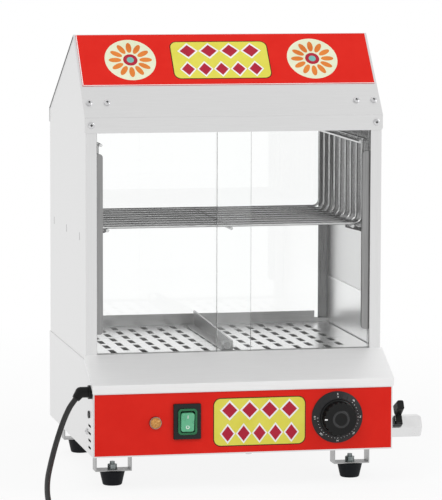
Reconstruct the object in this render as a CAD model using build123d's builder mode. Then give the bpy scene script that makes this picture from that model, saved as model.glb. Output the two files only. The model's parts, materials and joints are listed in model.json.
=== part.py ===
"""Counter-top steam cabinet for sausages and buns: a folded sheet cabinet with two sliding glass
doors on a heated base with a water tank, a wire bun rack, a control box and a drain valve.

Millimetres. X runs to the right as the user faces the doors, Y to the back and Z up. The origin lies
on the counter, midway between the sides and midway between the front lip and the back.
"""
import math
import os

from build123d import *

os.makedirs("parts", exist_ok=True)

# ------------------------------------------------------------------ driving dimensions
sheet = 1.0  # stainless steel sheet of the whole shell
touch_gap = 0.1  # sheets that only lie against each other
running_gap = 0.3  # pieces that slide or lift
fit_gap = 0.05  # turning and plugged fits, radial

# cabinet
cabinet_width = 360.0
cabinet_depth = 272.0
cabinet_front = -106.0  # Y of the front posts' face
post_width = 14.0
front_return = 3.9  # how far the front post's inner fold goes back
rear_return = 2.4
panel_bottom = 132.0  # lower edge of the side panels, hidden inside the base
ridge_back = 84.0  # ridge behind the front face
ridge_height = 534.0
front_eave_height = 440.0
rear_eave_height = 434.5
front_band_height = 18.5
rear_band_height = 18.5
band_overhang = 0.8  # the hoods reach this far past each side panel
band_corner = 3.0
bend = 1.4  # outer radius of the folds

# sign panel on the front slope
sign_inset = 1.8  # from the side panels' outer face
sign_top = 1.0  # down the slope from the ridge
sign_height = 78.0
sign_thickness = 0.5

# base
base_bottom = 44.5
base_top = 152.5
box_reach = 56.9  # front of the control box ahead of the cabinet's face
box_seam = 9.5  # seam between control box and base casing, ahead of the same face
base_fold = 12.0  # inward folds along the underside
deck_rear_height = 158.7
deck_lip_height = 130.0
deck_reach = 59.5
lip_drop = 9.5
deck_flange = 7.0  # side folds of the deck
panel_inset = 0.8
panel_bottom_edge = 46.1
panel_top_edge = 119.0
panel_sheet = 0.4
vent_length = 19.0
vent_height = 2.8
vent_ahead = 32.0
vent_levels = (53.0, 61.5, 70.0, 79.0)
seam_screw_ahead = 15.0
seam_screw_z = 70.0
seam_tab_height = 80.0
under_screw_x = 7.0
under_screw_ahead = 49.0
cap_ahead = 29.6  # cap over an unused hole in the left side
cap_z = 92.1
cap_radius = 4.5
cap_height = 1.4
cap_stem = 3.4
cap_stem_length = 4.0

# controls, measured on the front of the control box
lamp_x = -106.8
lamp_z = 84.2
lamp_radius = 7.9
lamp_rim = 2.4
lamp_neck = 6.0
lamp_behind = 13.0
lens_radius = 6.2
lens_height = 6.0
switch_x = -69.0
switch_z = 85.0
bezel_width = 33.0
bezel_height = 42.3
bezel_depth = 3.2
switch_body_width = 22.0
switch_body_height = 30.0
switch_body_depth = 24.0
cover_width = 22.8
cover_height = 31.0
cover_depth = 2.4
cover_wall = 2.6
rocker_width = 15.8
rocker_height = 22.6
rocker_tilt = 7.0  # degrees off flat, either way
rocker_pivot = 0.5  # pivot ahead of the panel's face
rocker_pin = 1.2
rocker_waist = 4.5  # front of the rocker at its middle, ahead of the pivot
rocker_ends = 5.9  # and at its two ends
rocker_depth = 4.0  # and behind the pivot
dial_x = 112.7
dial_z = 84.8
dial_radius = 31.0
dial_bore = 22.0
dial_rise = 6.0
knob_skirt = 21.5
knob_radius = 20.0
knob_depth = 20.0
knob_scallops = 20
scallop_radius = 2.4
boss_radius = 11.1
boss_rise = 0.8
shaft_radius = 3.0
neck_radius = 5.0
thermostat_size = 34.0
thermostat_depth = 28.0

# doors
glass = 4.0
front_pane_back = 5.0  # front face of the right door's pane, behind the posts' face
pane_pitch = 6.5
door_inset = 14.5  # outer edge of each pane, inside the side panels' outer face
left_pane_inner = 22.5
right_pane_inner = -20.3
pull_width = 9.0
pull_sheet = 0.8
pull_above_track = 23.0
pull_below_track = 28.0
pull_corner = 4.0
track_back = 17.3  # back of both tracks behind the posts' face
track_top = 158.0
track_floor = 1.2
upper_track_rise = 2.5  # above the front hood's lower edge
upper_track_height = 13.0
pane_top_gap = 1.5

# tank, tray and liners
rim_height = 150.0
tank_inset = 15.0  # tank wall inside the side panels' outer face
tank_front = 30.0
tank_behind = 22.0  # tank's back wall ahead of the cabinet's back
tank_bottom = 95.0
tank_corner = 15.0
liner_top = 217.0
liner_hem = 2.3
hem_height = 2.5
tray_top = 157.0
tray_front = 18.4
tray_behind = 10.0
tray_inset = 3.7
slot_width = 4.0
slot_length = 28.0
slot_columns = 16
slot_pitch_x = 18.9
slot_last = 21.0  # start of the last slot, ahead of the tray's back edge
slot_first = 38.0
slots_in_column = 6

# rear glass and its sill
rear_glass_behind = 8.0
sill_behind = 9.5
sill_height = 11.9
sill_tab = 9.5
sill_tab_inset = 20.0
rear_glass_drop = 6.5  # below the rear eave
rail_drop = 16.5

# divider
divider_x = 2.8
divider_front = 24.0
divider_behind = 6.0  # ahead of the tray's back edge
divider_low = 11.2  # height at the front
divider_high = 18.7  # height at the back
divider_foot = 14.2
divider_hem = 2.2
divider_hem_height = 5.0
divider_hole = 4.7
divider_corner = 3.0

# wire bun rack and its hooks
wire = 3.2
runner = 4.0
weld = 0.25  # crossing wires bite this deep into each other
rack_inset = 18.5
rack_floor = 307.5
rack_top = 411.0
rack_corner = 9.0
rack_first = 25.0
rack_behind = 26.2  # last wire ahead of the cabinet's back
rack_wires = 9
inner_rail_drop = 3.2
runner_inset = 30.0
hook_first = 44.0
hook_last = 33.0  # last hook ahead of the cabinet's back
hook_count = 3
hook_z = 295.7
hook_width = 2.5
hook_height = 9.0
hook_tip_inset = 34.0
hook_tip_width = 8.0
slot_clearance = 0.2

# feet
foot_inset = 34.0
foot_front = 13.0
foot_behind = 22.0
foot_height = 17.4
foot_top_radius = 15.1
foot_bottom_radius = 11.6
foot_recess_radius = 6.5
foot_recess = 8.0
foot_rim = 1.0
bracket_width = 44.0
bracket_depth = 20.5
bracket_sheet = 1.5
bolt_radius = 3.0
bolt_head = 4.0
bolt_top = 28.2
nut_width = 10.0
nut_height = 5.0
washer_radius = 6.0
washer_height = 1.0

# drain valve, square to the right side of the base
valve_back = 12.0
valve_z = 60.2
hexagon_width = 25.0
valve_length = 52.0
valve_chamfer = 1.6
outlet_radius = 9.3
outlet_depth = 14.0
nipple_radius = 8.5
nipple_length = 13.0
lock_nut_width = 24.0
lock_nut_height = 5.0
drain_inset = 25.0  # drain inside the tank's wall
drain_back = 46.0
pipe_radius = 6.0
pipe_wall = 1.0
pipe_bend = 12.0
stem_reach = 21.5  # stem outside the side panel
stem_radius = 2.5
stem_lean = 30.0  # degrees of the stem above level, leaning forward
stem_seat = 4.0  # the stem goes this deep into the hexagon
bonnet_width = 10.0
bonnet_length = 11.0
bonnet_height = 8.0
lever_width = 8.0
lever_length = 24.0
lever_heel = 5.0  # the lever reaches this far behind its stem
lever_thickness = 3.0
grip_width = 10.4
grip_length = 14.0
grip_height = 16.0

# heating element and thermostat bulb
heater_radius = 4.0
heater_z = 104.0
heater_half = 60.0
heater_behind = 15.0  # ahead of the tank's back wall
heater_bend = 40.0
heater_tail = 14.0
gland_height = 5.0
gland_width = 17.0
bulb_radius = 3.0
bulb_length = 90.0
bulb_gland_width = 13.0

# terminal block in the control box
terminal_inset = 50.0
terminal_ahead = 30.0
terminal_length = 44.0
terminal_width = 18.0
terminal_height = 14.0
terminal_bore = 1.6

# power cord
cord_diameter = 6.6
relief_ahead = 43.0  # ahead of the cabinet's face
relief_z = 120.8
relief_radius = 6.4
relief_neck = 5.6
relief_neck_length = 5.0
relief_flange = 8.2
relief_flange_height = 3.5
relief_reach = 12.5  # from the box's side to the middle of the elbow
relief_mouth = 4.8
exit_length = 9.5
cord_route = [
    (-207.4, -155.0, 104.6),
    (-216.0, -162.5, 90.0),
    (-227.0, -177.0, 66.5),
    (-236.5, -198.0, 46.5),
    (-245.5, -227.0, 30.5),
    (-250.0, -261.0, 14.0),
]
touchdown_y = -296.0
coil_x = -292.0
coil_y = -326.0
coil_gap = 0.6
coil_lower_half_turns = 5
coil_upper_half_turns = 4
coil_outer_radius = 44.0
tail_lead = 16.0
tail_rise_run = 24.0
tail_shift = 4.0
plug_radius = 18.8
plug_length = 34.0
plug_edge = 1.5
boot_length = 16.0
boot_mouth = 4.6
boot_root = 7.0
shoulder_length = 10.0
shoulder_radius = 12.8
pin_radius = 2.4
pin_length = 19.0
pin_pitch = 19.0

# fasteners of the shell
screw_head = 4.0
screw_head_height = 2.2
screw_radius = 2.0
screw_length = 3.5
slope_screw_rise = 22.232  # above the front eave, along the slope
middle_screw_inset = 28.4
header_screw_below = 9.0  # below the front eave
rear_slope_screw_rise = 23.5914  # above the rear eave, along the slope
rear_screw_below = 9.5  # below the rear eave

# ------------------------------------------------------------------ places worked out from them
half_width = cabinet_width / 2
inner_half = half_width - sheet
sign_half_width = half_width - sign_inset
panel_half_width = half_width - panel_inset
door_edge = half_width - door_inset
tank_half_width = half_width - tank_inset
tray_half_width = half_width - tray_inset
sill_tab_half = half_width - sill_tab_inset
rack_half_width = half_width - rack_inset
runner_x = half_width - runner_inset
hook_tip = half_width - hook_tip_inset
foot_x = half_width - foot_inset
drain_x = tank_half_width - drain_inset
stem_x = half_width + stem_reach
terminal_x = terminal_inset - half_width
middle_screw_x = half_width - middle_screw_inset

# distances behind the posts' face
tank_back = cabinet_depth - tank_behind
heater_back = tank_back - heater_behind
tray_back = cabinet_depth - tray_behind
rear_glass_back = cabinet_depth - rear_glass_behind
sill_front = cabinet_depth - sill_behind
divider_length = tray_back - divider_behind - divider_front
foot_back = cabinet_depth - foot_behind
slot_pitch_y = (tray_back - slot_last - slot_first) / (slots_in_column - 1)
rack_pitch = (cabinet_depth - rack_behind - rack_first) / (rack_wires - 1)
hook_pitch = (cabinet_depth - hook_last - hook_first) / (hook_count - 1)

# heights under the eaves
front_band_bottom = front_eave_height - front_band_height
rear_band_bottom = rear_eave_height - rear_band_height
header_screw_z = front_eave_height - header_screw_below
rear_screw_z = rear_eave_height - rear_screw_below
rear_glass_top = rear_eave_height - rear_glass_drop
rail_bottom = rear_eave_height - rail_drop
upper_track_bottom = front_band_bottom + upper_track_rise
pull_top = upper_track_bottom - pull_below_track
pull_bottom = track_top + pull_above_track

between_sides = 2 * (inner_half - touch_gap)
base_half = half_width + sheet
deck_half = base_half + sheet
hood_half = half_width + band_overhang
post_edge = half_width - post_width
screw_hole = screw_radius + touch_gap


def back(distance):
    """Y at a distance behind the posts' face."""
    return cabinet_front + distance


cabinet_back = back(cabinet_depth)
box_front = back(-box_reach)
box_back = back(-box_seam)
panel_face = box_front - panel_sheet


def fold(points, thickness):
    """Closed outline of a sheet folded along points, with its thickness on the right of the path."""
    normals = []
    for start, end in zip(points, points[1:]):
        run = math.dist(start, end)
        normals.append(((end[1] - start[1]) / run, (start[0] - end[0]) / run))
    inner = []
    for index, point in enumerate(points):
        first = normals[max(index - 1, 0)]
        second = normals[min(index, len(normals) - 1)]
        share = thickness / (1 + first[0] * second[0] + first[1] * second[1])
        inner.append((point[0] + share * (first[0] + second[0]), point[1] + share * (first[1] + second[1])))
    return list(points) + inner[::-1]


def nearest(shapes, *points):
    """The shapes whose centres are nearest to the points, one for each."""
    return [min(shapes, key=lambda shape: (shape.center() - Vector(*point)).length) for point in points]


def finish(builder, name):
    """Label a finished piece and write it."""
    builder.part.label = name
    export_step(builder.part, f"parts/{name}.step")


def hexagon(width):
    """A regular hexagon of that width across its flats, in the current sketch."""
    RegularPolygon(radius=width / 2, side_count=6, major_radius=False)


# the gable: outer line of both hoods, front eave to ridge to rear eave, as (Y, Z)
front_eave = (back(-sheet), front_eave_height)
ridge = (back(ridge_back), ridge_height)
rear_eave = (cabinet_back + sheet, rear_eave_height)
gable_outer = [(front_eave[0], panel_bottom), front_eave, ridge, rear_eave, (rear_eave[0], panel_bottom)]
gable_inner = fold(gable_outer, sheet)[len(gable_outer) :][::-1]


def slope_plane(start, end):
    """Plane on a roof slope at the ridge, facing out, with X to the right and Y from start to end."""
    run = math.dist(start, end)
    way = ((end[0] - start[0]) / run, (end[1] - start[1]) / run)
    return Plane(origin=(0, *ridge), x_dir=(1, 0, 0), z_dir=(0, -way[1], way[0]))


slope_screw_drop = math.dist(front_eave, ridge) - slope_screw_rise
rear_screw_drop = math.dist(ridge, rear_eave) - rear_slope_screw_rise
front_slope = slope_plane(front_eave, ridge)
rear_slope = slope_plane(ridge, rear_eave)

# upright planes facing out, with X to the right; their Y is the height, or minus the height at the back
header_face = Plane(origin=(0, front_eave[0], 0), x_dir=(1, 0, 0), z_dir=(0, -1, 0))
rear_face = Plane(origin=(0, rear_eave[0], 0), x_dir=(1, 0, 0), z_dir=(0, 1, 0))
box_face = Plane(origin=(0, box_front, 0), x_dir=(1, 0, 0), z_dir=(0, -1, 0))
panel_plane = Plane(origin=(0, panel_face, 0), x_dir=(1, 0, 0), z_dir=(0, -1, 0))

# screws over the posts and the panels' top flanges, and two more in the front slope
edge_screw_x = half_width - post_width / 2
edge_pair = (-edge_screw_x, edge_screw_x)
slope_edge_screws = [(x, -slope_screw_drop) for x in edge_pair]
slope_middle_screws = [(x, -slope_screw_drop) for x in (-middle_screw_x, middle_screw_x)]
rear_slope_screws = [(x, rear_screw_drop) for x in edge_pair]
header_screws = [(x, header_screw_z) for x in edge_pair]
rear_screws = [(x, -rear_screw_z) for x in edge_pair]


def screw_holes(plane, places):
    """Clearance holes through the sheets that lie just under a plane, in the current part."""
    with BuildSketch(plane.offset(sheet)) as holes:
        with Locations(*places):
            Circle(screw_hole)
    extrude(holes.sketch, amount=-sheet - screw_length, mode=Mode.SUBTRACT)


# ------------------------------------------------------------------ shell of the cabinet
def side_panel(name, side):
    """Side of the cabinet with its front and rear posts folded on, slotted for the rack hooks."""
    plan = [
        (side * post_edge, cabinet_back - rear_return),
        (side * post_edge, cabinet_back),
        (side * half_width, cabinet_back),
        (side * half_width, cabinet_front),
        (side * post_edge, cabinet_front),
        (side * post_edge, back(front_return)),
    ]
    middle_z = (ridge_height + panel_bottom) / 2
    with BuildPart() as panel:
        with BuildSketch(Plane.XY.offset(panel_bottom)):
            Polygon(*fold(plan[::side], sheet), align=None)
        extrude(amount=ridge_height - panel_bottom)
        folds = [(x, y, middle_z) for x, y in plan[1:5]]
        fillet(nearest(panel.edges().filter_by(Axis.Z), *folds), bend)
        with BuildSketch(Plane.YZ.offset(-half_width)):
            Polygon(*gable_inner, align=None)
        extrude(amount=cabinet_width, mode=Mode.INTERSECT)
        with BuildSketch(Plane.YZ.offset(min(side * post_edge, side * half_width))):
            Polygon(*fold(gable_inner[1:4], sheet), align=None)
        extrude(amount=post_width)
        # the posts end on the bottom track, while the side goes on down into the base
        with BuildSketch(Plane.XY.offset(panel_bottom)):
            with Locations((side * (inner_half - post_width / 2), back(cabinet_depth / 2))):
                Rectangle(post_width, cabinet_depth)
        extrude(amount=track_top + touch_gap - panel_bottom, mode=Mode.SUBTRACT)
        with BuildSketch(Plane.YZ):
            with Locations(*[(back(hook_first + row * hook_pitch), hook_z) for row in range(hook_count)]):
                Rectangle(hook_width + slot_clearance, hook_height + slot_clearance)
        extrude(amount=half_width, both=True, mode=Mode.SUBTRACT)
        screw_holes(header_face, header_screws)
        screw_holes(rear_face, rear_screws)
        screw_holes(front_slope, slope_edge_screws)
        screw_holes(rear_slope, rear_slope_screws)
    finish(panel, name)


side_panel("left_side_panel", -1)
side_panel("right_side_panel", 1)


def hood(name, eave, inner_eave, band_bottom, holes):
    """One half of the roof: a slope folded down into a band along its eave."""
    with BuildPart() as roof:
        with BuildSketch(Plane.YZ.offset(-hood_half)):
            band = [(inner_eave[0], band_bottom), (eave[0], band_bottom)]
            Polygon(*band, eave, ridge, gable_inner[2], inner_eave, align=None)
        extrude(amount=2 * hood_half)
        fillet(nearest(roof.edges().filter_by(Axis.X), (0, *eave)), bend)
        corners = [(side * hood_half, eave[0], band_bottom) for side in (-1, 1)]
        fillet(nearest(roof.edges().filter_by(Axis.Y), *corners), band_corner)
        for plane, places in holes:
            screw_holes(plane, places)
    finish(roof, name)


front_holes = [(front_slope, slope_edge_screws + slope_middle_screws), (header_face, header_screws)]
rear_holes = [(rear_slope, rear_slope_screws), (rear_face, rear_screws)]
hood("front_hood", front_eave, gable_inner[1], front_band_bottom, front_holes)
hood("rear_hood", rear_eave, gable_inner[3], rear_band_bottom, rear_holes)

with BuildPart() as sign_panel:
    with BuildSketch(front_slope):
        with Locations((0, -sign_top - sign_height / 2)):
            Rectangle(2 * sign_half_width, sign_height)
    extrude(amount=sign_thickness)
finish(sign_panel, "sign_panel")


# ------------------------------------------------------------------ rear glass, sill and rail
with BuildPart() as rear_sill:
    sill_top = rim_height + sill_height
    trough = [
        (cabinet_back, sill_top),
        (cabinet_back, rim_height),
        (back(sill_front), rim_height),
        (back(sill_front), sill_top),
    ]
    with BuildSketch(Plane.YZ.offset(-between_sides / 2)):
        Polygon(*fold(trough, sheet), align=None)
    extrude(amount=between_sides)
    with BuildSketch(Plane.XY.offset(sill_top)):
        with Locations((0, back(sill_front) + sheet / 2)):
            Rectangle(2 * sill_tab_half, sheet)
    extrude(amount=sill_tab)
    # the rear posts stand beside the back wall of the trough
    with BuildSketch(Plane.XY.offset(track_top)):
        with Locations(*[(side * half_width, cabinet_back - rear_return / 2) for side in (-1, 1)]):
            Rectangle(2 * (post_width + touch_gap), rear_return)
    extrude(amount=sill_height, mode=Mode.SUBTRACT)
finish(rear_sill, "rear_sill")

with BuildPart() as rear_glass:
    with BuildSketch(Plane.XY.offset(rim_height + sheet + touch_gap)):
        with Locations((0, back(rear_glass_back) + glass / 2)):
            Rectangle(between_sides - 2 * sheet, glass)
    extrude(amount=rear_glass_top - rim_height - sheet - touch_gap)
finish(rear_glass, "rear_glass")

with BuildPart() as rear_top_rail:
    rail_front = back(rear_glass_back) - touch_gap - sheet
    rail_back = back(rear_glass_back) + glass + touch_gap + sheet
    rail_top = rear_glass_top + touch_gap + sheet
    cap = [(rail_front, rail_bottom), (rail_front, rail_top), (rail_back, rail_top), (rail_back, rail_bottom)]
    with BuildSketch(Plane.YZ.offset(-between_sides / 2)):
        Polygon(*fold(cap, sheet), align=None)
    extrude(amount=between_sides)
finish(rear_top_rail, "rear_top_rail")


# ------------------------------------------------------------------ sliding doors and tracks
groove = glass + 2 * running_gap
pane_middles = [back(front_pane_back + index * pane_pitch + glass / 2) for index in (0, 1)]
pane_bottom = rim_height + track_floor + running_gap
upper_track_top = upper_track_bottom + upper_track_height
pane_top = upper_track_top - 2 * sheet - pane_top_gap


def door_track(name, front, bottom, top, groove_low, groove_high):
    """Extruded channel with two grooves, one behind the other."""
    with BuildPart() as track:
        with BuildSketch(Plane.YZ.offset(-between_sides / 2)):
            with Locations(((front + back(track_back)) / 2, (bottom + top) / 2)):
                Rectangle(back(track_back) - front, top - bottom)
            with Locations(*[(middle, (groove_low + groove_high) / 2) for middle in pane_middles]):
                Rectangle(groove, groove_high - groove_low, mode=Mode.SUBTRACT)
        extrude(amount=between_sides)
    finish(track, name)


door_track("bottom_door_track", cabinet_front, rim_height, track_top, rim_height + track_floor, track_top + sheet)
door_track(
    "top_door_track",
    back(front_return + touch_gap),
    upper_track_bottom,
    upper_track_top,
    upper_track_bottom - sheet,
    upper_track_top - 2 * sheet,
)


def door_pane(name, middle, low_x, high_x):
    """One pane standing in its groove."""
    with BuildPart() as pane:
        with BuildSketch(Plane.XY.offset(pane_bottom)):
            with Locations(((low_x + high_x) / 2, middle)):
                Rectangle(high_x - low_x, glass)
        extrude(amount=pane_top - pane_bottom)
    finish(pane, name)


def door_pull(name, middle, side):
    """Folded strip clipped over the pane's outer edge."""
    outer = side * (door_edge + pull_sheet)
    inner = outer - side * pull_width
    depth = glass + 2 * pull_sheet
    with BuildPart() as pull:
        with BuildSketch(Plane.XZ.offset(depth / 2 - middle)):
            with Locations(((outer + inner) / 2, (pull_bottom + pull_top) / 2)):
                Rectangle(pull_width, pull_top - pull_bottom)
        extrude(amount=-depth)
        corners = [(inner, middle, z) for z in (pull_bottom, pull_top)]
        fillet(nearest(pull.edges().filter_by(Axis.Y), *corners), pull_corner)
        with BuildSketch(Plane.XY.offset(pull_bottom)):
            with Locations((side * (door_edge - pull_width / 2), middle)):
                Rectangle(pull_width, glass)
        extrude(amount=pull_top - pull_bottom, mode=Mode.SUBTRACT)
    finish(pull, name)


door_pane("right_door_glass", pane_middles[0], right_pane_inner, door_edge)
door_pane("left_door_glass", pane_middles[1], -door_edge, left_pane_inner)
door_pull("right_door_pull", pane_middles[0], 1)
door_pull("left_door_pull", pane_middles[1], -1)


# ------------------------------------------------------------------ tank, liners, tray and divider
with BuildPart() as water_tank:
    well_middle = back((tank_front + tank_back) / 2)
    well_length = tank_back - tank_front
    with BuildSketch(Plane.XY.offset(rim_height - sheet)):
        with Locations((0, back(cabinet_depth / 2))):
            Rectangle(between_sides, cabinet_depth - 2 * touch_gap)
    extrude(amount=sheet)
    with BuildSketch(Plane.XY.offset(tank_bottom)):
        with Locations((0, well_middle)):
            RectangleRounded(2 * (tank_half_width + sheet), well_length + 2 * sheet, tank_corner + sheet)
    extrude(amount=rim_height - sheet - tank_bottom)
    with BuildSketch(Plane.XY.offset(tank_bottom + sheet)):
        with Locations((0, well_middle)):
            RectangleRounded(2 * tank_half_width, well_length, tank_corner)
    extrude(amount=rim_height - tank_bottom, mode=Mode.SUBTRACT)
    with BuildSketch(Plane.XY.offset(tank_bottom)):
        with Locations((drain_x, back(drain_back))):
            Circle(pipe_radius - pipe_wall)
    extrude(amount=sheet, mode=Mode.SUBTRACT)
    with BuildSketch(Plane.XZ.offset(2 * sheet - back(tank_front))):
        with Locations((-heater_half, heater_z), (heater_half, heater_z)):
            Circle(heater_radius + fit_gap)
        with Locations((0, heater_z)):
            Circle(bulb_radius + fit_gap)
    extrude(amount=-3 * sheet, mode=Mode.SUBTRACT)
finish(water_tank, "water_tank")


def wall_liner(name, side):
    """Splash sheet inside a side panel, standing on the tank's rim, with a hem along its top."""
    middle = back((track_back + sill_front) / 2)
    length = sill_front - track_back - 2 * touch_gap
    with BuildPart() as liner:
        with BuildSketch(Plane.XY.offset(rim_height)):
            with Locations((side * (inner_half - sheet / 2), middle)):
                Rectangle(sheet, length)
        extrude(amount=liner_top - rim_height)
        with BuildSketch(Plane.XY.offset(liner_top - hem_height)):
            with Locations((side * (inner_half - liner_hem / 2), middle)):
                Rectangle(liner_hem, length)
        extrude(amount=hem_height)
    finish(liner, name)


wall_liner("left_wall_liner", -1)
wall_liner("right_wall_liner", 1)

with BuildPart() as perforated_tray:
    tray_length = tray_back - tray_front
    tray_middle = back((tray_front + tray_back) / 2)
    skirt_bottom = rim_height + running_gap
    with BuildSketch(Plane.XY.offset(skirt_bottom)):
        with Locations((0, tray_middle)):
            Rectangle(2 * tray_half_width, tray_length)
    extrude(amount=tray_top - skirt_bottom)
    fillet(perforated_tray.faces().sort_by(Axis.Z)[-1].edges(), sheet)
    with BuildSketch(Plane.XY.offset(skirt_bottom)):
        with Locations((0, tray_middle)):
            Rectangle(2 * (tray_half_width - sheet), tray_length - 2 * sheet)
    extrude(amount=tray_top - sheet - skirt_bottom, mode=Mode.SUBTRACT)
    slots = []
    for column in range(slot_columns):
        staggered = column % 2
        start = slot_first + staggered * slot_pitch_y / 2
        for row in range(slots_in_column - staggered):
            slots.append(((column - (slot_columns - 1) / 2) * slot_pitch_x, back(start + row * slot_pitch_y)))
    with BuildSketch(Plane.XY.offset(tray_top - sheet)):
        with Locations(*slots):
            Rectangle(slot_width, slot_length)
    extrude(amount=sheet, mode=Mode.SUBTRACT)
finish(perforated_tray, "perforated_tray")

with BuildPart() as divider:
    foot_z = tray_top + running_gap
    near_y = back(divider_front)
    far_y = near_y + divider_length
    blade = [(near_y, foot_z), (near_y, foot_z + divider_low), (far_y, foot_z + divider_high), (far_y, foot_z)]
    with BuildSketch(Plane.YZ.offset(divider_x - sheet)):
        Polygon(*blade, align=None)
    extrude(amount=sheet)
    hem = [blade[1], blade[2]]
    hem += [(y, z - divider_hem_height) for y, z in hem[::-1]]
    with BuildSketch(Plane.YZ.offset(divider_x - divider_hem)):
        Polygon(*hem, align=None)
    extrude(amount=divider_hem)
    foot_middle = divider_x - divider_foot / 2
    with BuildSketch(Plane.XY.offset(foot_z)):
        with Locations((foot_middle, (near_y + far_y) / 2)):
            Rectangle(divider_foot, divider_length)
    extrude(amount=sheet)
    with BuildSketch(Plane.XZ.offset(-near_y)):
        with Locations((foot_middle, foot_z + divider_low / 2)):
            Rectangle(divider_foot, divider_low)
            Circle(divider_hole, mode=Mode.SUBTRACT)
    extrude(amount=-sheet)
    free_corner = (divider_x - divider_foot, near_y + sheet / 2, foot_z + divider_low)
    fillet(nearest(divider.edges().filter_by(Axis.Y), free_corner), divider_corner)
finish(divider, "divider")


# ------------------------------------------------------------------ wire bun rack and hooks
runner_z = rack_floor - (wire + runner) / 2 + weld
rail_offset = (wire + runner) / 2 - weld
outer_rail_z = rack_top - runner / 2
rack_length = (rack_wires - 1) * rack_pitch

with BuildPart() as rack_wire:
    with BuildLine(Plane.XZ.offset(-back(rack_first))) as bow:
        FilletPolyline(
            (-rack_half_width, outer_rail_z),
            (-rack_half_width, rack_floor),
            (rack_half_width, rack_floor),
            (rack_half_width, outer_rail_z),
            radius=rack_corner,
        )
    with BuildSketch(Plane(origin=bow.line @ 0, z_dir=bow.line % 0)):
        Circle(wire / 2)
    sweep()

with BuildPart() as bun_rack:
    with Locations(*[(0, row * rack_pitch, 0) for row in range(rack_wires)]):
        add(rack_wire.part)
    rails = [(side * (rack_half_width + rail_offset), outer_rail_z) for side in (-1, 1)]
    rails += [(side * (rack_half_width - rail_offset), outer_rail_z - inner_rail_drop) for side in (-1, 1)]
    rails += [(x, runner_z) for x in (-runner_x, 0, runner_x)]
    with BuildSketch(Plane.XZ.offset(wire - back(rack_first))):
        with Locations(*rails):
            Circle(runner / 2)
    extrude(amount=-(rack_length + 2 * wire))
finish(bun_rack, "bun_rack")


def rack_hooks(name, side):
    """Three hooks through the side panel's slots, each notched for the rack's outer runner."""
    low = hook_z - hook_height / 2
    high = hook_z + hook_height / 2
    tip_end = hook_tip + hook_tip_width
    outline = [(hook_tip, low), (half_width, low), (half_width, high), (tip_end + hook_tip_width, high)]
    outline += [(tip_end, runner_z), (hook_tip, runner_z)]
    with BuildPart() as hooks:
        with BuildSketch(Plane.XZ.offset(hook_width / 2 - back(hook_first))):
            Polygon(*[(side * x, z) for x, z in outline], align=None)
            with Locations((side * runner_x, runner_z)):
                Circle(runner / 2 + running_gap, mode=Mode.SUBTRACT)
        extrude(amount=-hook_width)
    with BuildPart() as row_of_hooks:
        with Locations(*[(0, row * hook_pitch, 0) for row in range(hook_count)]):
            add(hooks.part)
    finish(row_of_hooks, name)


rack_hooks("left_rack_hooks", -1)
rack_hooks("right_rack_hooks", 1)


# ------------------------------------------------------------------ heating element and thermostat bulb
with BuildPart() as heating_element:
    tail_y = back(tank_front - heater_tail)
    bend_y = back(heater_back)
    with BuildLine() as hairpin:
        FilletPolyline(
            (-heater_half, tail_y, heater_z),
            (-heater_half, bend_y, heater_z),
            (heater_half, bend_y, heater_z),
            (heater_half, tail_y, heater_z),
            radius=heater_bend,
        )
    with BuildSketch(Plane(origin=hairpin.line @ 0, z_dir=hairpin.line % 0)):
        Circle(heater_radius)
    sweep()
finish(heating_element, "heating_element")

with BuildPart() as gland_nuts:
    with BuildSketch(Plane.XZ.offset(sheet - back(tank_front))):
        with Locations((-heater_half, heater_z), (heater_half, heater_z)):
            hexagon(gland_width)
            Circle(heater_radius + fit_gap, mode=Mode.SUBTRACT)
        with Locations((0, heater_z)):
            hexagon(bulb_gland_width)
            Circle(bulb_radius + fit_gap, mode=Mode.SUBTRACT)
    extrude(amount=gland_height)
finish(gland_nuts, "gland_nuts")

with BuildPart() as thermostat_bulb:
    with BuildSketch(Plane.XZ.offset(heater_tail - back(tank_front))):
        with Locations((0, heater_z)):
            Circle(bulb_radius)
    extrude(amount=-bulb_length)
finish(thermostat_bulb, "thermostat_bulb")


# ------------------------------------------------------------------ base shell
deck_rear = (cabinet_front, deck_rear_height)
deck_nose = (back(-deck_reach), deck_lip_height)
deck_rise = (deck_rear[1] - deck_nose[1]) / (deck_rear[0] - deck_nose[0])


def under_deck(y, depth):
    """Point at Y on the line that lies a depth below the deck's face, measured square to it."""
    return (y, deck_rear[1] + (y - deck_rear[0]) * deck_rise - depth * math.hypot(1, deck_rise))


with BuildPart() as deck:
    lip_bottom = deck_lip_height - lip_drop
    deck_path = [
        (box_front - touch_gap, lip_bottom),
        (deck_nose[0], lip_bottom),
        deck_nose,
        deck_rear,
        (deck_rear[0], base_top + touch_gap),
    ]
    with BuildSketch(Plane.YZ.offset(-deck_half)):
        Polygon(*fold(deck_path, sheet), align=None)
    extrude(amount=2 * deck_half)
    fillet(nearest(deck.edges().filter_by(Axis.X), (0, *deck_nose)), bend)
    flange_front = deck_nose[0] + 2 * bend
    with BuildSketch(Plane.YZ.offset(-deck_half), Plane.YZ.offset(base_half)):
        Polygon(
            under_deck(flange_front, sheet / 2),
            under_deck(deck_rear[0], sheet / 2),
            under_deck(deck_rear[0], deck_flange),
            under_deck(flange_front, deck_flange),
            align=None,
        )
    extrude(amount=sheet)
finish(deck, "deck")


def control_holes():
    """Holes for the lamp, the switch and the thermostat's neck, in the current sketch."""
    with Locations((lamp_x, lamp_z)):
        Circle(lamp_neck + touch_gap)
    with Locations((switch_x, switch_z)):
        Rectangle(switch_body_width + 2 * touch_gap, switch_body_height + 2 * touch_gap)
    with Locations((dial_x, dial_z)):
        Circle(neck_radius + touch_gap)


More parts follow.
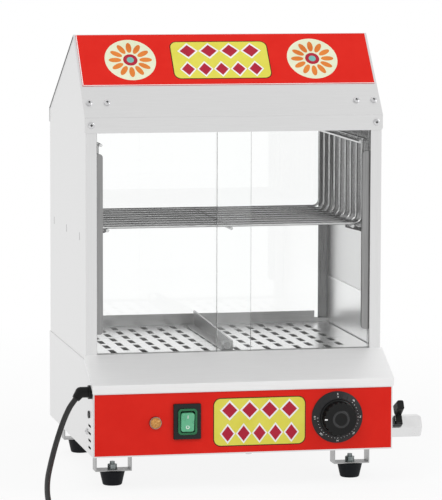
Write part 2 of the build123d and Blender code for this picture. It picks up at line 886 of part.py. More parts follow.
def underside_fold(front, rear, open_end):
    """Outline of the inward fold along three sides of an underside, in the current sketch."""
    with Locations((0, (front + rear) / 2)):
        Rectangle(2 * base_half, rear - front)
    with Locations((0, (front + rear) / 2 + open_end * base_fold)):
        Rectangle(2 * (base_half - base_fold), rear - front, mode=Mode.SUBTRACT)


under_screw = (under_screw_x, back(-under_screw_ahead))
seam_screw = (back(-seam_screw_ahead), seam_screw_z)

with BuildPart() as control_box:
    wrap = [(base_half, box_back), (base_half, box_front), (-base_half, box_front), (-base_half, box_back)]
    with BuildSketch(Plane.XY.offset(base_bottom)):
        Polygon(*fold(wrap, sheet), align=None)
    extrude(amount=deck_rear_height - base_bottom)
    with BuildSketch(Plane.XY.offset(base_bottom)):
        underside_fold(box_front, box_back, 1)
        with Locations(under_screw):
            Circle(screw_hole, mode=Mode.SUBTRACT)
    extrude(amount=sheet)
    corners = [(side * base_half, box_front, (deck_rear_height + base_bottom) / 2) for side in (-1, 1)]
    fillet(nearest(control_box.edges().filter_by(Axis.Z), *corners), bend)
    with BuildSketch(Plane.YZ.offset(-base_half)):
        Polygon(
            (box_front, base_bottom),
            under_deck(box_front, sheet + touch_gap),
            under_deck(box_back, sheet + touch_gap),
            (box_back, base_bottom),
            align=None,
        )
    extrude(amount=2 * base_half, mode=Mode.INTERSECT)
    with BuildSketch(box_face):
        control_holes()
    extrude(amount=-sheet, mode=Mode.SUBTRACT)
    with BuildSketch(Plane.YZ):
        with Locations(*[(back(-vent_ahead), level) for level in vent_levels]):
            SlotOverall(vent_length, vent_height)
        with Locations(seam_screw):
            Circle(screw_hole)
    extrude(amount=base_half, both=True, mode=Mode.SUBTRACT)
    with BuildSketch(Plane.YZ.offset(-base_half)):
        with Locations((back(-relief_ahead), relief_z)):
            Circle(relief_neck + touch_gap)
        with Locations((back(-cap_ahead), cap_z)):
            Circle(cap_stem + touch_gap)
    extrude(amount=sheet, mode=Mode.SUBTRACT)
finish(control_box, "control_box")

with BuildPart() as base_casing:
    casing_front = box_back + touch_gap
    casing_back = cabinet_back + sheet
    wrap = [(-base_half, casing_front), (-base_half, casing_back)]
    wrap += [(base_half, casing_back), (base_half, casing_front)]
    with BuildSketch(Plane.XY.offset(base_bottom)):
        Polygon(*fold(wrap, sheet), align=None)
    extrude(amount=base_top - base_bottom)
    with BuildSketch(Plane.XY.offset(base_bottom)):
        underside_fold(casing_front, casing_back, -1)
    extrude(amount=sheet)
    corners = [(side * base_half, casing_back, (base_top + base_bottom) / 2) for side in (-1, 1)]
    fillet(nearest(base_casing.edges().filter_by(Axis.Z), *corners), bend)
    with BuildSketch(Plane.YZ.offset(half_width)):
        with Locations((back(valve_back), valve_z)):
            Circle(nipple_radius + touch_gap)
    extrude(amount=sheet, mode=Mode.SUBTRACT)
finish(base_casing, "base_casing")

with BuildPart() as base_bottom_plate:
    plate_z = base_bottom + sheet
    plate_front = box_front + sheet + touch_gap
    plate_back = cabinet_back - touch_gap
    plate_half = half_width - touch_gap
    with BuildSketch(Plane.XY.offset(plate_z)):
        with Locations((0, (plate_front + plate_back) / 2)):
            Rectangle(2 * plate_half, plate_back - plate_front)
        with Locations(under_screw):
            Circle(screw_hole, mode=Mode.SUBTRACT)
    extrude(amount=sheet)
    with BuildSketch(Plane.XY.offset(plate_z)):
        with Locations(*[(side * (plate_half - sheet / 2), seam_screw[0]) for side in (-1, 1)]):
            Rectangle(sheet, base_fold)
    extrude(amount=seam_tab_height - plate_z)
    with BuildSketch(Plane.YZ):
        with Locations(seam_screw):
            Circle(screw_hole)
    extrude(amount=half_width, both=True, mode=Mode.SUBTRACT)
finish(base_bottom_plate, "base_bottom_plate")

with BuildPart() as control_panel:
    with BuildSketch(box_face):
        with Locations((0, (panel_bottom_edge + panel_top_edge) / 2)):
            Rectangle(2 * panel_half_width, panel_top_edge - panel_bottom_edge)
    extrude(amount=panel_sheet)
    with BuildSketch(box_face):
        control_holes()
    extrude(amount=panel_sheet, mode=Mode.SUBTRACT)
finish(control_panel, "control_panel")


# ------------------------------------------------------------------ controls
def turned(name, centre, profile):
    """A round piece on the panel's face: profile points are (radius, distance ahead of the panel)."""
    origin = (centre[0], panel_face, centre[1])
    with BuildPart() as piece:
        with BuildSketch(Plane(origin=origin, x_dir=(1, 0, 0), z_dir=(0, 0, 1))):
            Polygon(*[(radius, -ahead) for radius, ahead in profile], align=None)
        revolve(axis=Axis(origin, (0, 1, 0)))
    finish(piece, name)


lens_seat = lamp_rim / 2
lens_bore = lens_radius + touch_gap
bezel_profile = [(0, -lamp_behind), (lamp_neck, -lamp_behind), (lamp_neck, 0), (lamp_radius, 0)]
bezel_profile += [(lamp_radius - lamp_rim / 3, lamp_rim), (lens_bore, lamp_rim), (lens_bore, lens_seat), (0, lens_seat)]
turned("lamp_bezel", (lamp_x, lamp_z), bezel_profile)

lens_profile = [(0, lens_seat), (lens_radius, lens_seat), (lens_radius, lens_height * 0.55)]
lens_profile += [(lens_radius * 0.7, lens_height * 0.87), (lens_radius * 0.35, lens_height), (0, lens_height)]
turned("lamp_lens", (lamp_x, lamp_z), lens_profile)

dial_profile = [(dial_bore, 0), (dial_radius, 0), (dial_radius, sheet)]
dial_profile += [(dial_bore + sheet, dial_rise), (dial_bore, dial_rise)]
turned("dial_ring", (dial_x, dial_z), dial_profile)

knob_plane = Plane(origin=(dial_x, panel_face, dial_z), x_dir=(1, 0, 0), z_dir=(0, -1, 0))
shaft_depth = knob_depth / 2  # the knob is bored this deep for its shaft
neck_back = panel_sheet + sheet  # the thermostat's body lies against the back of the box's front

with BuildPart() as thermostat_knob:
    skirt_rise = dial_rise + running_gap
    with BuildSketch(Plane(origin=knob_plane.origin, x_dir=(1, 0, 0), z_dir=(0, 0, 1))):
        Polygon(
            (0, -running_gap),
            (knob_skirt, -running_gap),
            (knob_skirt, -skirt_rise),
            (knob_radius, -skirt_rise - sheet),
            (knob_radius, -knob_depth + sheet),
            (knob_radius - sheet, -knob_depth),
            (boss_radius, -knob_depth),
            (boss_radius - boss_rise, -knob_depth - boss_rise),
            (0, -knob_depth - boss_rise),
            align=None,
        )
    revolve(axis=Axis(knob_plane.origin, (0, 1, 0)))
    with BuildSketch(knob_plane.offset(skirt_rise + sheet)):
        with PolarLocations(knob_radius + scallop_radius / 2, knob_scallops):
            Circle(scallop_radius)
    extrude(amount=knob_depth, mode=Mode.SUBTRACT)
    with BuildSketch(knob_plane):
        Circle(shaft_radius + fit_gap)
    extrude(amount=shaft_depth, mode=Mode.SUBTRACT)
finish(thermostat_knob, "thermostat_knob")

with BuildPart() as thermostat_shaft:
    with BuildSketch(knob_plane.offset(shaft_depth - fit_gap)):
        Circle(shaft_radius)
    extrude(amount=-(shaft_depth + neck_back + thermostat_depth / 2))
finish(thermostat_shaft, "thermostat_shaft")

with BuildPart() as thermostat_body:
    body_plane = knob_plane.offset(-neck_back)
    with BuildSketch(body_plane):
        RectangleRounded(thermostat_size, thermostat_size, band_corner)
    extrude(amount=-thermostat_depth)
    with BuildSketch(body_plane):
        Circle(neck_radius)
    extrude(amount=sheet)
    with BuildSketch(body_plane.offset(sheet)):
        Circle(shaft_radius + fit_gap)
    extrude(amount=-(sheet + thermostat_depth / 2 + running_gap), mode=Mode.SUBTRACT)
finish(thermostat_body, "thermostat_body")

switch_plane = Plane(origin=(switch_x, panel_face, switch_z), x_dir=(1, 0, 0), z_dir=(0, -1, 0))
rocker_plane = Plane(origin=(switch_x, panel_face - rocker_pivot, switch_z), x_dir=(0, -1, 0), z_dir=(1, 0, 0))
rocker_space = rocker_width + 2 * running_gap
swing = rocker_ends * math.sin(math.radians(rocker_tilt))
rocker_well = rocker_height + 2 * (swing + fit_gap)
well_back = rocker_depth + sheet

with BuildPart() as switch_bezel:
    with BuildSketch(switch_plane):
        RectangleRounded(bezel_width, bezel_height, bend)
    extrude(amount=bezel_depth)
    fillet(switch_bezel.faces().sort_by(Axis.Y)[0].edges(), sheet)
    with BuildSketch(switch_plane):
        Rectangle(switch_body_width, switch_body_height)
    extrude(amount=-switch_body_depth)
    with BuildSketch(switch_plane.offset(bezel_depth)):
        Rectangle(rocker_space, rocker_well)
    extrude(amount=-bezel_depth - well_back, mode=Mode.SUBTRACT)
    with BuildSketch(rocker_plane):
        Circle(rocker_pin + fit_gap)
    extrude(amount=rocker_space / 2 + rocker_pin + touch_gap, both=True, mode=Mode.SUBTRACT)
finish(switch_bezel, "switch_bezel")

with BuildPart() as switch_cover:
    with BuildSketch(switch_plane.offset(bezel_depth)):
        RectangleRounded(cover_width, cover_height, bend)
        Rectangle(cover_width - 2 * cover_wall, cover_height - 2 * cover_wall, mode=Mode.SUBTRACT)
    extrude(amount=cover_depth)
finish(switch_cover, "switch_cover")

with BuildPart() as switch_rocker:
    half = rocker_height / 2
    with BuildSketch(rocker_plane.offset(-rocker_width / 2)):
        Polygon(
            (-rocker_depth / 3, -half),
            (rocker_ends, -half),
            (rocker_waist, 0),
            (rocker_ends, half),
            (-rocker_depth / 3, half),
            (-rocker_depth, half / 3),
            (-rocker_depth, -half / 3),
            rotation=rocker_tilt,
            align=None,
        )
    extrude(amount=rocker_width)
    with BuildSketch(rocker_plane):
        Circle(rocker_pin)
    extrude(amount=rocker_space / 2 + rocker_pin, both=True)
finish(switch_rocker, "switch_rocker")

with BuildPart() as terminal_block:
    block_z = base_bottom + 2 * sheet
    with BuildSketch(Plane.XY.offset(block_z)):
        with Locations((terminal_x, back(-terminal_ahead))):
            Rectangle(terminal_length, terminal_width)
    extrude(amount=terminal_height)
    with BuildSketch(Plane.XY.offset(block_z + terminal_height)):
        with Locations((terminal_x, back(-terminal_ahead))):
            with GridLocations(terminal_length / 4, terminal_width / 2, 4, 2):
                Circle(terminal_bore)
    extrude(amount=-terminal_height / 2, mode=Mode.SUBTRACT)
finish(terminal_block, "terminal_block")

with BuildPart() as hole_plug:
    with BuildSketch(Plane.YZ.offset(-base_half)):
        with Locations((back(-cap_ahead), cap_z)):
            Circle(cap_radius)
    extrude(amount=-cap_height)
    with BuildSketch(Plane.YZ.offset(-base_half)):
        with Locations((back(-cap_ahead), cap_z)):
            Circle(cap_stem)
    extrude(amount=cap_stem_length)
finish(hole_plug, "hole_plug")


# ------------------------------------------------------------------ feet
foot_places = [(x, back(y)) for y in (foot_front, foot_back) for x in (-foot_x, foot_x)]
foot_names = ["front_left_foot", "front_right_foot", "rear_left_foot", "rear_right_foot"]
foot_bore = bolt_radius + touch_gap

for (x, y), name in zip(foot_places, foot_names):
    with BuildPart() as foot:
        with BuildSketch(Plane(origin=(x, y, 0), x_dir=(1, 0, 0), z_dir=(0, -1, 0))):
            Polygon(
                (foot_bore, foot_recess),
                (foot_recess_radius, foot_recess),
                (foot_recess_radius, 0),
                (foot_bottom_radius - foot_rim, 0),
                (foot_bottom_radius, foot_rim),
                (foot_top_radius, foot_height - foot_rim),
                (foot_top_radius - foot_rim / 2, foot_height),
                (foot_bore, foot_height),
                align=None,
            )
        revolve(axis=Axis((x, y, 0), (0, 0, 1)))
    finish(foot, name)

with BuildPart() as foot_brackets:
    for x, y in foot_places:
        left = x - bracket_width / 2
        right = x + bracket_width / 2
        channel = [(right, plate_z), (right, foot_height), (left, foot_height), (left, plate_z)]
        with BuildSketch(Plane.XZ.offset(-y - bracket_depth / 2)):
            Polygon(*fold(channel, bracket_sheet), align=None)
        extrude(amount=bracket_depth)
    with BuildSketch(Plane.XY.offset(foot_height)):
        with Locations(*foot_places):
            Circle(foot_bore)
    extrude(amount=bracket_sheet, mode=Mode.SUBTRACT)
finish(foot_brackets, "foot_brackets")

with BuildPart() as foot_bolt:
    washer_z = foot_height + bracket_sheet
    with BuildSketch(Plane.XY.offset(foot_recess)):
        hexagon(nut_width)
    extrude(amount=-bolt_head)
    with BuildSketch(Plane.XY.offset(foot_recess)):
        Circle(bolt_radius)
    extrude(amount=bolt_top - foot_recess)
    with BuildSketch(Plane.XY.offset(washer_z)):
        Circle(washer_radius)
        Circle(bolt_radius + fit_gap, mode=Mode.SUBTRACT)
    extrude(amount=washer_height)
    with BuildSketch(Plane.XY.offset(washer_z + washer_height)):
        hexagon(nut_width)
        Circle(bolt_radius + fit_gap, mode=Mode.SUBTRACT)
    extrude(amount=nut_height)

with BuildPart() as foot_fasteners:
    with Locations(*[(x, y, 0) for x, y in foot_places]):
        add(foot_bolt.part)
finish(foot_fasteners, "foot_fasteners")


# ------------------------------------------------------------------ drain valve and pipe
valve_axis = (back(valve_back), valve_z)
lean = math.radians(stem_lean)
stem_plane = Plane(
    origin=(stem_x, *valve_axis),
    x_dir=(1, 0, 0),
    z_dir=(0, -math.cos(lean), math.sin(lean)),
)
flat = hexagon_width / 2

with BuildPart() as drain_valve_body:
    with BuildSketch(Plane.YZ.offset(base_half)):
        with Locations(valve_axis):
            hexagon(hexagon_width)
    extrude(amount=valve_length)
    chamfer(drain_valve_body.faces().sort_by(Axis.X)[-1].edges(), valve_chamfer)
    with BuildSketch(Plane.YZ.offset(base_half)):
        with Locations(valve_axis):
            Circle(nipple_radius)
    extrude(amount=-nipple_length)
    with BuildSketch(Plane.YZ.offset(base_half + valve_length)):
        with Locations(valve_axis):
            Circle(outlet_radius)
    extrude(amount=-outlet_depth, mode=Mode.SUBTRACT)
    with BuildSketch(Plane.YZ.offset(base_half + valve_length)):
        with Locations(valve_axis):
            Circle(pipe_radius + fit_gap)
    extrude(amount=-valve_length - nipple_length, mode=Mode.SUBTRACT)
    with BuildSketch(stem_plane):
        Circle(stem_radius + fit_gap)
    extrude(amount=hexagon_width, mode=Mode.SUBTRACT)
finish(drain_valve_body, "drain_valve_body")

with BuildPart() as valve_lock_nut:
    with BuildSketch(Plane.YZ.offset(half_width)):
        with Locations(valve_axis):
            hexagon(lock_nut_width)
            Circle(nipple_radius + fit_gap, mode=Mode.SUBTRACT)
    extrude(amount=-lock_nut_height)
finish(valve_lock_nut, "valve_lock_nut")

with BuildPart() as valve_bonnet:
    with BuildSketch(stem_plane.offset(flat)):
        Rectangle(bonnet_width, bonnet_length)
        Circle(stem_radius + fit_gap, mode=Mode.SUBTRACT)
    extrude(amount=bonnet_height)
finish(valve_bonnet, "valve_bonnet")

with BuildPart() as valve_lever:
    lever_seat = flat + bonnet_height + running_gap
    with BuildSketch(stem_plane.offset(flat - stem_seat)):
        Circle(stem_radius)
    extrude(amount=lever_seat + lever_thickness - flat + stem_seat)
    with BuildSketch(stem_plane.offset(lever_seat)):
        with Locations((0, lever_length / 2 - lever_heel)):
            RectangleRounded(lever_width, lever_length, lever_width / 3)
    extrude(amount=lever_thickness)
    with BuildSketch(stem_plane.offset(lever_seat + lever_thickness)):
        with Locations((0, lever_length - lever_heel - grip_length / 2)):
            RectangleRounded(grip_width, grip_length, grip_width / 3)
    extrude(amount=grip_height, taper=4)
finish(valve_lever, "valve_lever")

with BuildPart() as drain_pipe:
    with BuildLine() as drain_run:
        FilletPolyline(
            (drain_x, back(drain_back), tank_bottom),
            (drain_x, back(drain_back), valve_z),
            (drain_x, *valve_axis),
            (base_half - nipple_length / 2, *valve_axis),
            radius=pipe_bend,
        )
    with BuildSketch(Plane(origin=drain_run.line @ 0, z_dir=drain_run.line % 0)):
        Circle(pipe_radius)
        Circle(pipe_radius - pipe_wall, mode=Mode.SUBTRACT)
    sweep()
finish(drain_pipe, "drain_pipe")


# ------------------------------------------------------------------ fasteners of the shell
with BuildPart() as pan_screw:
    with BuildSketch(Plane.XZ):
        Polygon(
            (0, -screw_length),
            (screw_radius, -screw_length),
            (screw_radius, 0),
            (screw_head, 0),
            (screw_head, screw_head_height / 3),
            (screw_head * 0.75, screw_head_height * 0.85),
            (screw_head * 0.3, screw_head_height),
            (0, screw_head_height),
            align=None,
        )
    revolve(axis=Axis.Z)


def screws(name, groups):
    """Pan head screws with their heads on the given planes."""
    spots = [plane.location * Location((x, y, 0)) for plane, places in groups for x, y in places]
    with BuildPart() as group:
        with Locations(*spots):
            add(pan_screw.part)
    finish(group, name)


screws("hood_screws", front_holes + rear_holes)

right_wall = Plane(origin=(base_half, 0, 0), x_dir=(0, 1, 0), z_dir=(1, 0, 0))
left_wall = Plane(origin=(-base_half, 0, 0), x_dir=(0, -1, 0), z_dir=(-1, 0, 0))
underside = Plane(origin=(0, 0, base_bottom), x_dir=(1, 0, 0), z_dir=(0, 0, -1))
base_groups = [(right_wall, [seam_screw]), (left_wall, [(-seam_screw[0], seam_screw[1])])]
base_groups += [(underside, [(under_screw[0], -under_screw[1])])]
screws("base_screws", base_groups)


# ------------------------------------------------------------------ strain relief, cord, coil and plug
elbow = Vector(-base_half - relief_reach, back(-relief_ahead), relief_z)
exit_way = (Vector(*cord_route[0]) - elbow).normalized()
cord_exit = elbow + exit_way * exit_length
relief_plane = Plane(origin=(-base_half, elbow.Y, elbow.Z), x_dir=(0, -1, 0), z_dir=(-1, 0, 0))

with BuildPart() as strain_relief:
    with BuildSketch(relief_plane.offset(-relief_neck_length)):
        Circle(relief_neck)
    extrude(amount=relief_neck_length)
    with BuildSketch(relief_plane):
        Circle(relief_flange)
    extrude(amount=relief_flange_height)
    with BuildSketch(relief_plane.offset(relief_flange_height)):
        Circle(relief_radius)
    extrude(amount=relief_reach - relief_flange_height)
    with Locations(elbow):
        Sphere(relief_radius)
    with BuildSketch(Plane(origin=elbow, z_dir=exit_way)):
        Circle(relief_radius)
    with BuildSketch(Plane(origin=cord_exit, z_dir=exit_way)):
        Circle(relief_mouth)
    loft()
finish(strain_relief, "strain_relief")


def corner_radii(points):
    """Largest easy radius at each inner point of a route."""
    radii = []
    for before, point, after in zip(points, points[1:], points[2:]):
        turn = (point - before).get_angle(after - point)
        shorter = min((point - before).length, (after - point).length)
        radii.append(0.45 * shorter / math.tan(math.radians(turn) / 2))
    return radii


def cord_tube(name, route):
    """Free stretch of cord along straight runs joined by tangent arcs."""
    points = [Vector(*point) for point in route]
    radii = corner_radii(points)
    with BuildPart() as tube:
        with BuildLine() as path:
            FilletPolyline(*points, radius=radii)
        with BuildSketch(Plane(origin=path.line @ 0, z_dir=path.line % 0)):
            Circle(cord_diameter / 2)
        sweep()
    length = path.wire().length
    ideal = length * math.pi * cord_diameter**2 / 4
    print(name, "length", round(length, 1), "radii", [round(radius) for radius in radii])
    print(name, "volume over section times length", round(tube.part.volume / ideal, 4))
    finish(tube, name)


cord_z = cord_diameter / 2
turn_pitch = cord_diameter + coil_gap
coil_lead = cord_diameter  # the coil's ends run straight this far
coil_side = coil_x + coil_outer_radius

with BuildPart() as cord_coil:
    with BuildLine() as coil_path:
        x = coil_side
        z = cord_z
        side = 1
        radius = coil_outer_radius
        Line((x, coil_y + coil_lead, z), (x, coil_y, z))
        for half_turn in range(coil_lower_half_turns):
            middle = (x - side * radius, coil_y - side * radius, z)
            ThreePointArc((x, coil_y, z), middle, (x - 2 * side * radius, coil_y, z))
            x -= 2 * side * radius
            side = -side
            radius -= turn_pitch / 2
        # the spiral turns back outwards, and climbs a layer in this half turn
        peak = (x - side * radius, coil_y - side * math.hypot(radius, turn_pitch / 2), z + turn_pitch / 2)
        climb = TangentArc((x, coil_y, z), peak, tangent=(0, -side, 0))
        x -= 2 * side * radius
        z += turn_pitch
        TangentArc(peak, (x, coil_y, z), tangent=climb % 1)
        side = -side
        for half_turn in range(coil_upper_half_turns):
            radius += turn_pitch / 2
            middle = (x - side * radius, coil_y - side * radius, z)
            ThreePointArc((x, coil_y, z), middle, (x - 2 * side * radius, coil_y, z))
            x -= 2 * side * radius
            side = -side
        Line((x, coil_y, z), (x, coil_y - side * coil_lead, z))
        coil_end = (x, coil_y - side * coil_lead, z)
    with BuildSketch(Plane(origin=(coil_side, coil_y + coil_lead, cord_z), z_dir=(0, -1, 0))):
        Circle(cord_diameter / 2)
    sweep()
finish(cord_coil, "cord_coil")

coil_wire = Wire(coil_path.edges())
steps = 400
samples = [coil_wire.position_at(step / steps) for step in range(steps + 1)]
apart = math.ceil(4 * cord_diameter / (coil_wire.length / steps))
gaps = [(samples[i] - samples[j]).length for i in range(steps + 1) for j in range(i + apart, steps + 1)]
print("cord_coil length", round(coil_wire.length, 1), "least gap", round(min(gaps) - cord_diameter, 2))

landing = [(coil_side, touchdown_y, cord_z), (coil_side, coil_y + coil_lead, cord_z)]
cord_tube("power_cord", [tuple(cord_exit), *cord_route, *landing])

plug_z = plug_radius + fit_gap
plug_x = coil_end[0] + tail_shift
tail_way = [coil_end, (coil_end[0], coil_end[1] - tail_lead, coil_end[2])]
tail_way += [(plug_x, tail_way[1][1] - tail_rise_run, plug_z)]
tail_way += [(plug_x, tail_way[2][1] - tail_lead, plug_z)]
cord_tube("cord_tail", tail_way)

with BuildPart() as mains_plug:
    plug_start = Vector(*tail_way[-1])
    plug_reach = boot_length + shoulder_length + plug_length
    with BuildSketch(Plane(origin=plug_start, x_dir=(1, 0, 0), z_dir=(0, 0, -1))):
        Polygon(
            (0, 0),
            (boot_mouth, 0),
            (boot_root, boot_length),
            (shoulder_radius, boot_length + shoulder_length / 4),
            (plug_radius, boot_length + shoulder_length),
            (plug_radius, plug_reach - plug_edge),
            (plug_radius - plug_edge, plug_reach),
            (0, plug_reach),
            align=None,
        )
    revolve(axis=Axis(plug_start, (0, 1, 0)))
    pin_root = plug_start - Vector(0, plug_reach, 0)
    with BuildSketch(Plane(origin=pin_root, x_dir=(1, 0, 0), z_dir=(0, -1, 0))):
        with Locations((-pin_pitch / 2, 0), (pin_pitch / 2, 0)):
            Circle(pin_radius)
    extrude(amount=pin_length)
finish(mains_plug, "mains_plug")
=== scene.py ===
"""Looks of a counter-top steam cabinet: brushed sheet steel, red printed panels, clear panes, a wire
bun rack, a black thermostat dial and a black cord, on a pale floor in soft light.

Metres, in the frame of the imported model: X to the right, Y to the back, Z up, origin on the counter.
"""
import json
import math

import bmesh
import bpy
from mathutils import Matrix, Vector
from mathutils.bvhtree import BVHTree

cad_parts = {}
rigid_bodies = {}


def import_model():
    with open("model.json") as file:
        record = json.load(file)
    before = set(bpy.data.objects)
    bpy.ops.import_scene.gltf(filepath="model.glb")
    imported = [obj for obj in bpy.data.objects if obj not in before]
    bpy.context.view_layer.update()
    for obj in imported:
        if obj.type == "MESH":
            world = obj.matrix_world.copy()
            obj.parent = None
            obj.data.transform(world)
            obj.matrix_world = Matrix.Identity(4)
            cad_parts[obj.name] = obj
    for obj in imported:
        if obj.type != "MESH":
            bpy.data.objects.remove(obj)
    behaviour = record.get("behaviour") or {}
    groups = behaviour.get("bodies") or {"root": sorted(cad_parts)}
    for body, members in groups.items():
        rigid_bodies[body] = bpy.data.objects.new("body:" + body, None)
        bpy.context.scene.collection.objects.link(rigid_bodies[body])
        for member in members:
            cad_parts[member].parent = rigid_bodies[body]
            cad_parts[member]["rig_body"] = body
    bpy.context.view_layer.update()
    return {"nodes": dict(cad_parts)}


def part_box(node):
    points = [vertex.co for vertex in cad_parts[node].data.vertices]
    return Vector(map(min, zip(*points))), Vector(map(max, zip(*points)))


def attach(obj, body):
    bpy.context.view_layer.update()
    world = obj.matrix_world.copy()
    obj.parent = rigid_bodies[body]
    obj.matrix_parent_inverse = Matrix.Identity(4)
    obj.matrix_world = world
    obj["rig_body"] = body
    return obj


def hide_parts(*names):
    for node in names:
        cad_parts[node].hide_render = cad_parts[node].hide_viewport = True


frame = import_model()
nodes = frame["nodes"]
mm = 0.001

# ------------------------------------------------------------------ places repeated from the cabinet
ridge = Vector((0, -22.0, 534.0)) * mm
front_eave = Vector((0, -107.0, 440.0)) * mm
rear_eave = Vector((0, 167.0, 434.5)) * mm
panel_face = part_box("control_panel")[0].y
sign_thickness = 0.5 * mm
dial_centre = Vector((112.7 * mm, panel_face, 84.8 * mm))
switch_centre = Vector((-69.0 * mm, panel_face, 85.0 * mm))
forward = Vector((0, -1, 0))
backward = Vector((0, 1, 0))


# ------------------------------------------------------------------ modelling helpers
sharp_edge = math.radians(32)
smooth_curve = math.radians(40)
flat_within = math.radians(0.5)
seam_width = 0.002 * mm


def deselect():
    if bpy.context.mode != "OBJECT":
        bpy.ops.object.mode_set(mode="OBJECT")
    bpy.ops.object.select_all(action="DESELECT")


def pick(piece):
    """Makes the piece the only one selected, and the active one."""
    deselect()
    piece.select_set(True)
    bpy.context.view_layer.objects.active = piece
    return piece


def named(name):
    """Names the object that was just added."""
    piece = bpy.context.object
    piece.name = name
    piece.data.name = name
    return piece


def settle(piece):
    """Moves the place, turn and size of the object into its mesh."""
    piece.data.transform(piece.matrix_world)
    piece.matrix_world = Matrix.Identity(4)
    return piece


def select_faces(piece, test):
    """Selects, in edit mode, the faces whose middle and normal pass the test."""
    bpy.ops.mesh.select_all(action="DESELECT")
    bpy.ops.mesh.select_mode(type="FACE")
    mesh = bmesh.from_edit_mesh(piece.data)
    for face in mesh.faces:
        face.select_set(test(face.calc_center_median(), face.normal))
    mesh.select_flush(True)
    bmesh.update_edit_mesh(piece.data)


def add_modifier(piece, kind, **values):
    pick(piece)
    modifier = piece.modifiers.new(kind.lower(), kind)
    for key, value in values.items():
        setattr(modifier, key, value)
    bpy.ops.object.modifier_apply(modifier=modifier.name)
    return piece


def break_edges(piece, width, segments=2, smooth=True):
    """Rounds the sharp edges a little and, unless told otherwise, shades the curves smooth."""
    limits = {"limit_method": "ANGLE", "angle_limit": sharp_edge}
    add_modifier(piece, "BEVEL", width=width, segments=segments, **limits)
    pick(piece)
    if smooth:
        bpy.ops.object.shade_smooth_by_angle(angle=smooth_curve)
        add_modifier(piece, "WEIGHTED_NORMAL", mode="FACE_AREA", weight=50, keep_sharp=True)
    else:
        bpy.ops.object.shade_flat()
    return piece


def join(pieces, name):
    """Joins several objects into one."""
    deselect()
    for piece in pieces:
        piece.select_set(True)
    bpy.context.view_layer.objects.active = pieces[0]
    if len(pieces) > 1:
        bpy.ops.object.join()
    return named(name)


def paint(piece, *materials):
    piece.data.materials.clear()
    for material in materials:
        piece.data.materials.append(material)
    return piece


def paint_faces(piece, materials, choose):
    """Gives each face the material whose number the chooser returns for its middle and normal."""
    paint(piece, *materials)
    for face in piece.data.polygons:
        face.material_index = choose(face.center, face.normal)
    return piece


def body_of(node):
    return nodes[node]["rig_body"]


def finished_copy(node, width, smooth=True, reshape=None):
    """The node's own shape, its seams closed and edges broken, which stands in the node's place."""
    piece = bpy.data.objects.new(node + "_finish", nodes[node].data.copy())
    bpy.context.collection.objects.link(piece)
    pick(piece)
    bpy.ops.object.mode_set(mode="EDIT")
    bpy.ops.mesh.select_all(action="SELECT")
    bpy.ops.mesh.customdata_custom_splitnormals_clear()
    bpy.ops.mesh.remove_doubles(threshold=seam_width)
    bpy.ops.mesh.dissolve_limited(angle_limit=flat_within)
    bpy.ops.object.mode_set(mode="OBJECT")
    if reshape:
        reshape(piece)
    break_edges(piece, width, smooth=smooth)
    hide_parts(node)
    return piece


def keep(piece, body, material=None):
    """Paints the finished piece, if a material is given, and hands it over to the frame."""
    if material:
        paint(piece, material)
    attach(piece, body)
    return piece


# ------------------------------------------------------------------ material helpers
def new_material(name):
    material = bpy.data.materials.new(name)
    material.use_nodes = True
    return material, material.node_tree.nodes, material.node_tree.links


def shader(tree_nodes, **values):
    """Sets the sockets of the material's shader."""
    bsdf = tree_nodes["Principled BSDF"]
    for key, value in values.items():
        bsdf.inputs[key.replace("_", " ")].default_value = value
    return bsdf


def grey(level):
    return (level, level, level)


def grain(tree_nodes, links, scale, detail, stretch=(1, 1, 1)):
    """Noise on the piece's own coordinates, drawn out along the axis where the stretch is short."""
    place = tree_nodes.new("ShaderNodeTexCoord")
    mapping = tree_nodes.new("ShaderNodeMapping")
    mapping.inputs["Scale"].default_value = stretch
    noise = tree_nodes.new("ShaderNodeTexNoise")
    noise.inputs["Scale"].default_value = scale
    noise.inputs["Detail"].default_value = detail
    noise.inputs["Roughness"].default_value = 0.55
    links.new(place.outputs["Object"], mapping.inputs["Vector"])
    links.new(mapping.outputs["Vector"], noise.inputs["Vector"])
    return noise


def ramp(tree_nodes, links, source, low, high):
    """A colour that runs from low to high over the middle of the source's range."""
    start, end = 0.3, 0.7
    band = tree_nodes.new("ShaderNodeValToRGB")
    band.color_ramp.elements[0].position = start
    band.color_ramp.elements[0].color = (*low, 1)
    band.color_ramp.elements[1].position = end
    band.color_ramp.elements[1].color = (*high, 1)
    links.new(source, band.inputs["Fac"])
    return band.outputs["Color"]


def spread(tree_nodes, links, source, low, high, start=0.25, end=0.75):
    """A number that runs from low to high with the source."""
    band = tree_nodes.new("ShaderNodeMapRange")
    band.inputs["From Min"].default_value = start
    band.inputs["From Max"].default_value = end
    band.inputs["To Min"].default_value = low
    band.inputs["To Max"].default_value = high
    links.new(source, band.inputs["Value"])
    return band.outputs["Result"]


def emboss(tree_nodes, links, bsdf, source, strength, depth):
    """Lifts the surface by the source, to that depth."""
    bump = tree_nodes.new("ShaderNodeBump")
    bump.inputs["Strength"].default_value = strength
    bump.inputs["Distance"].default_value = depth
    links.new(source, bump.inputs["Height"])
    links.new(bump.outputs["Normal"], bsdf.inputs["Normal"])


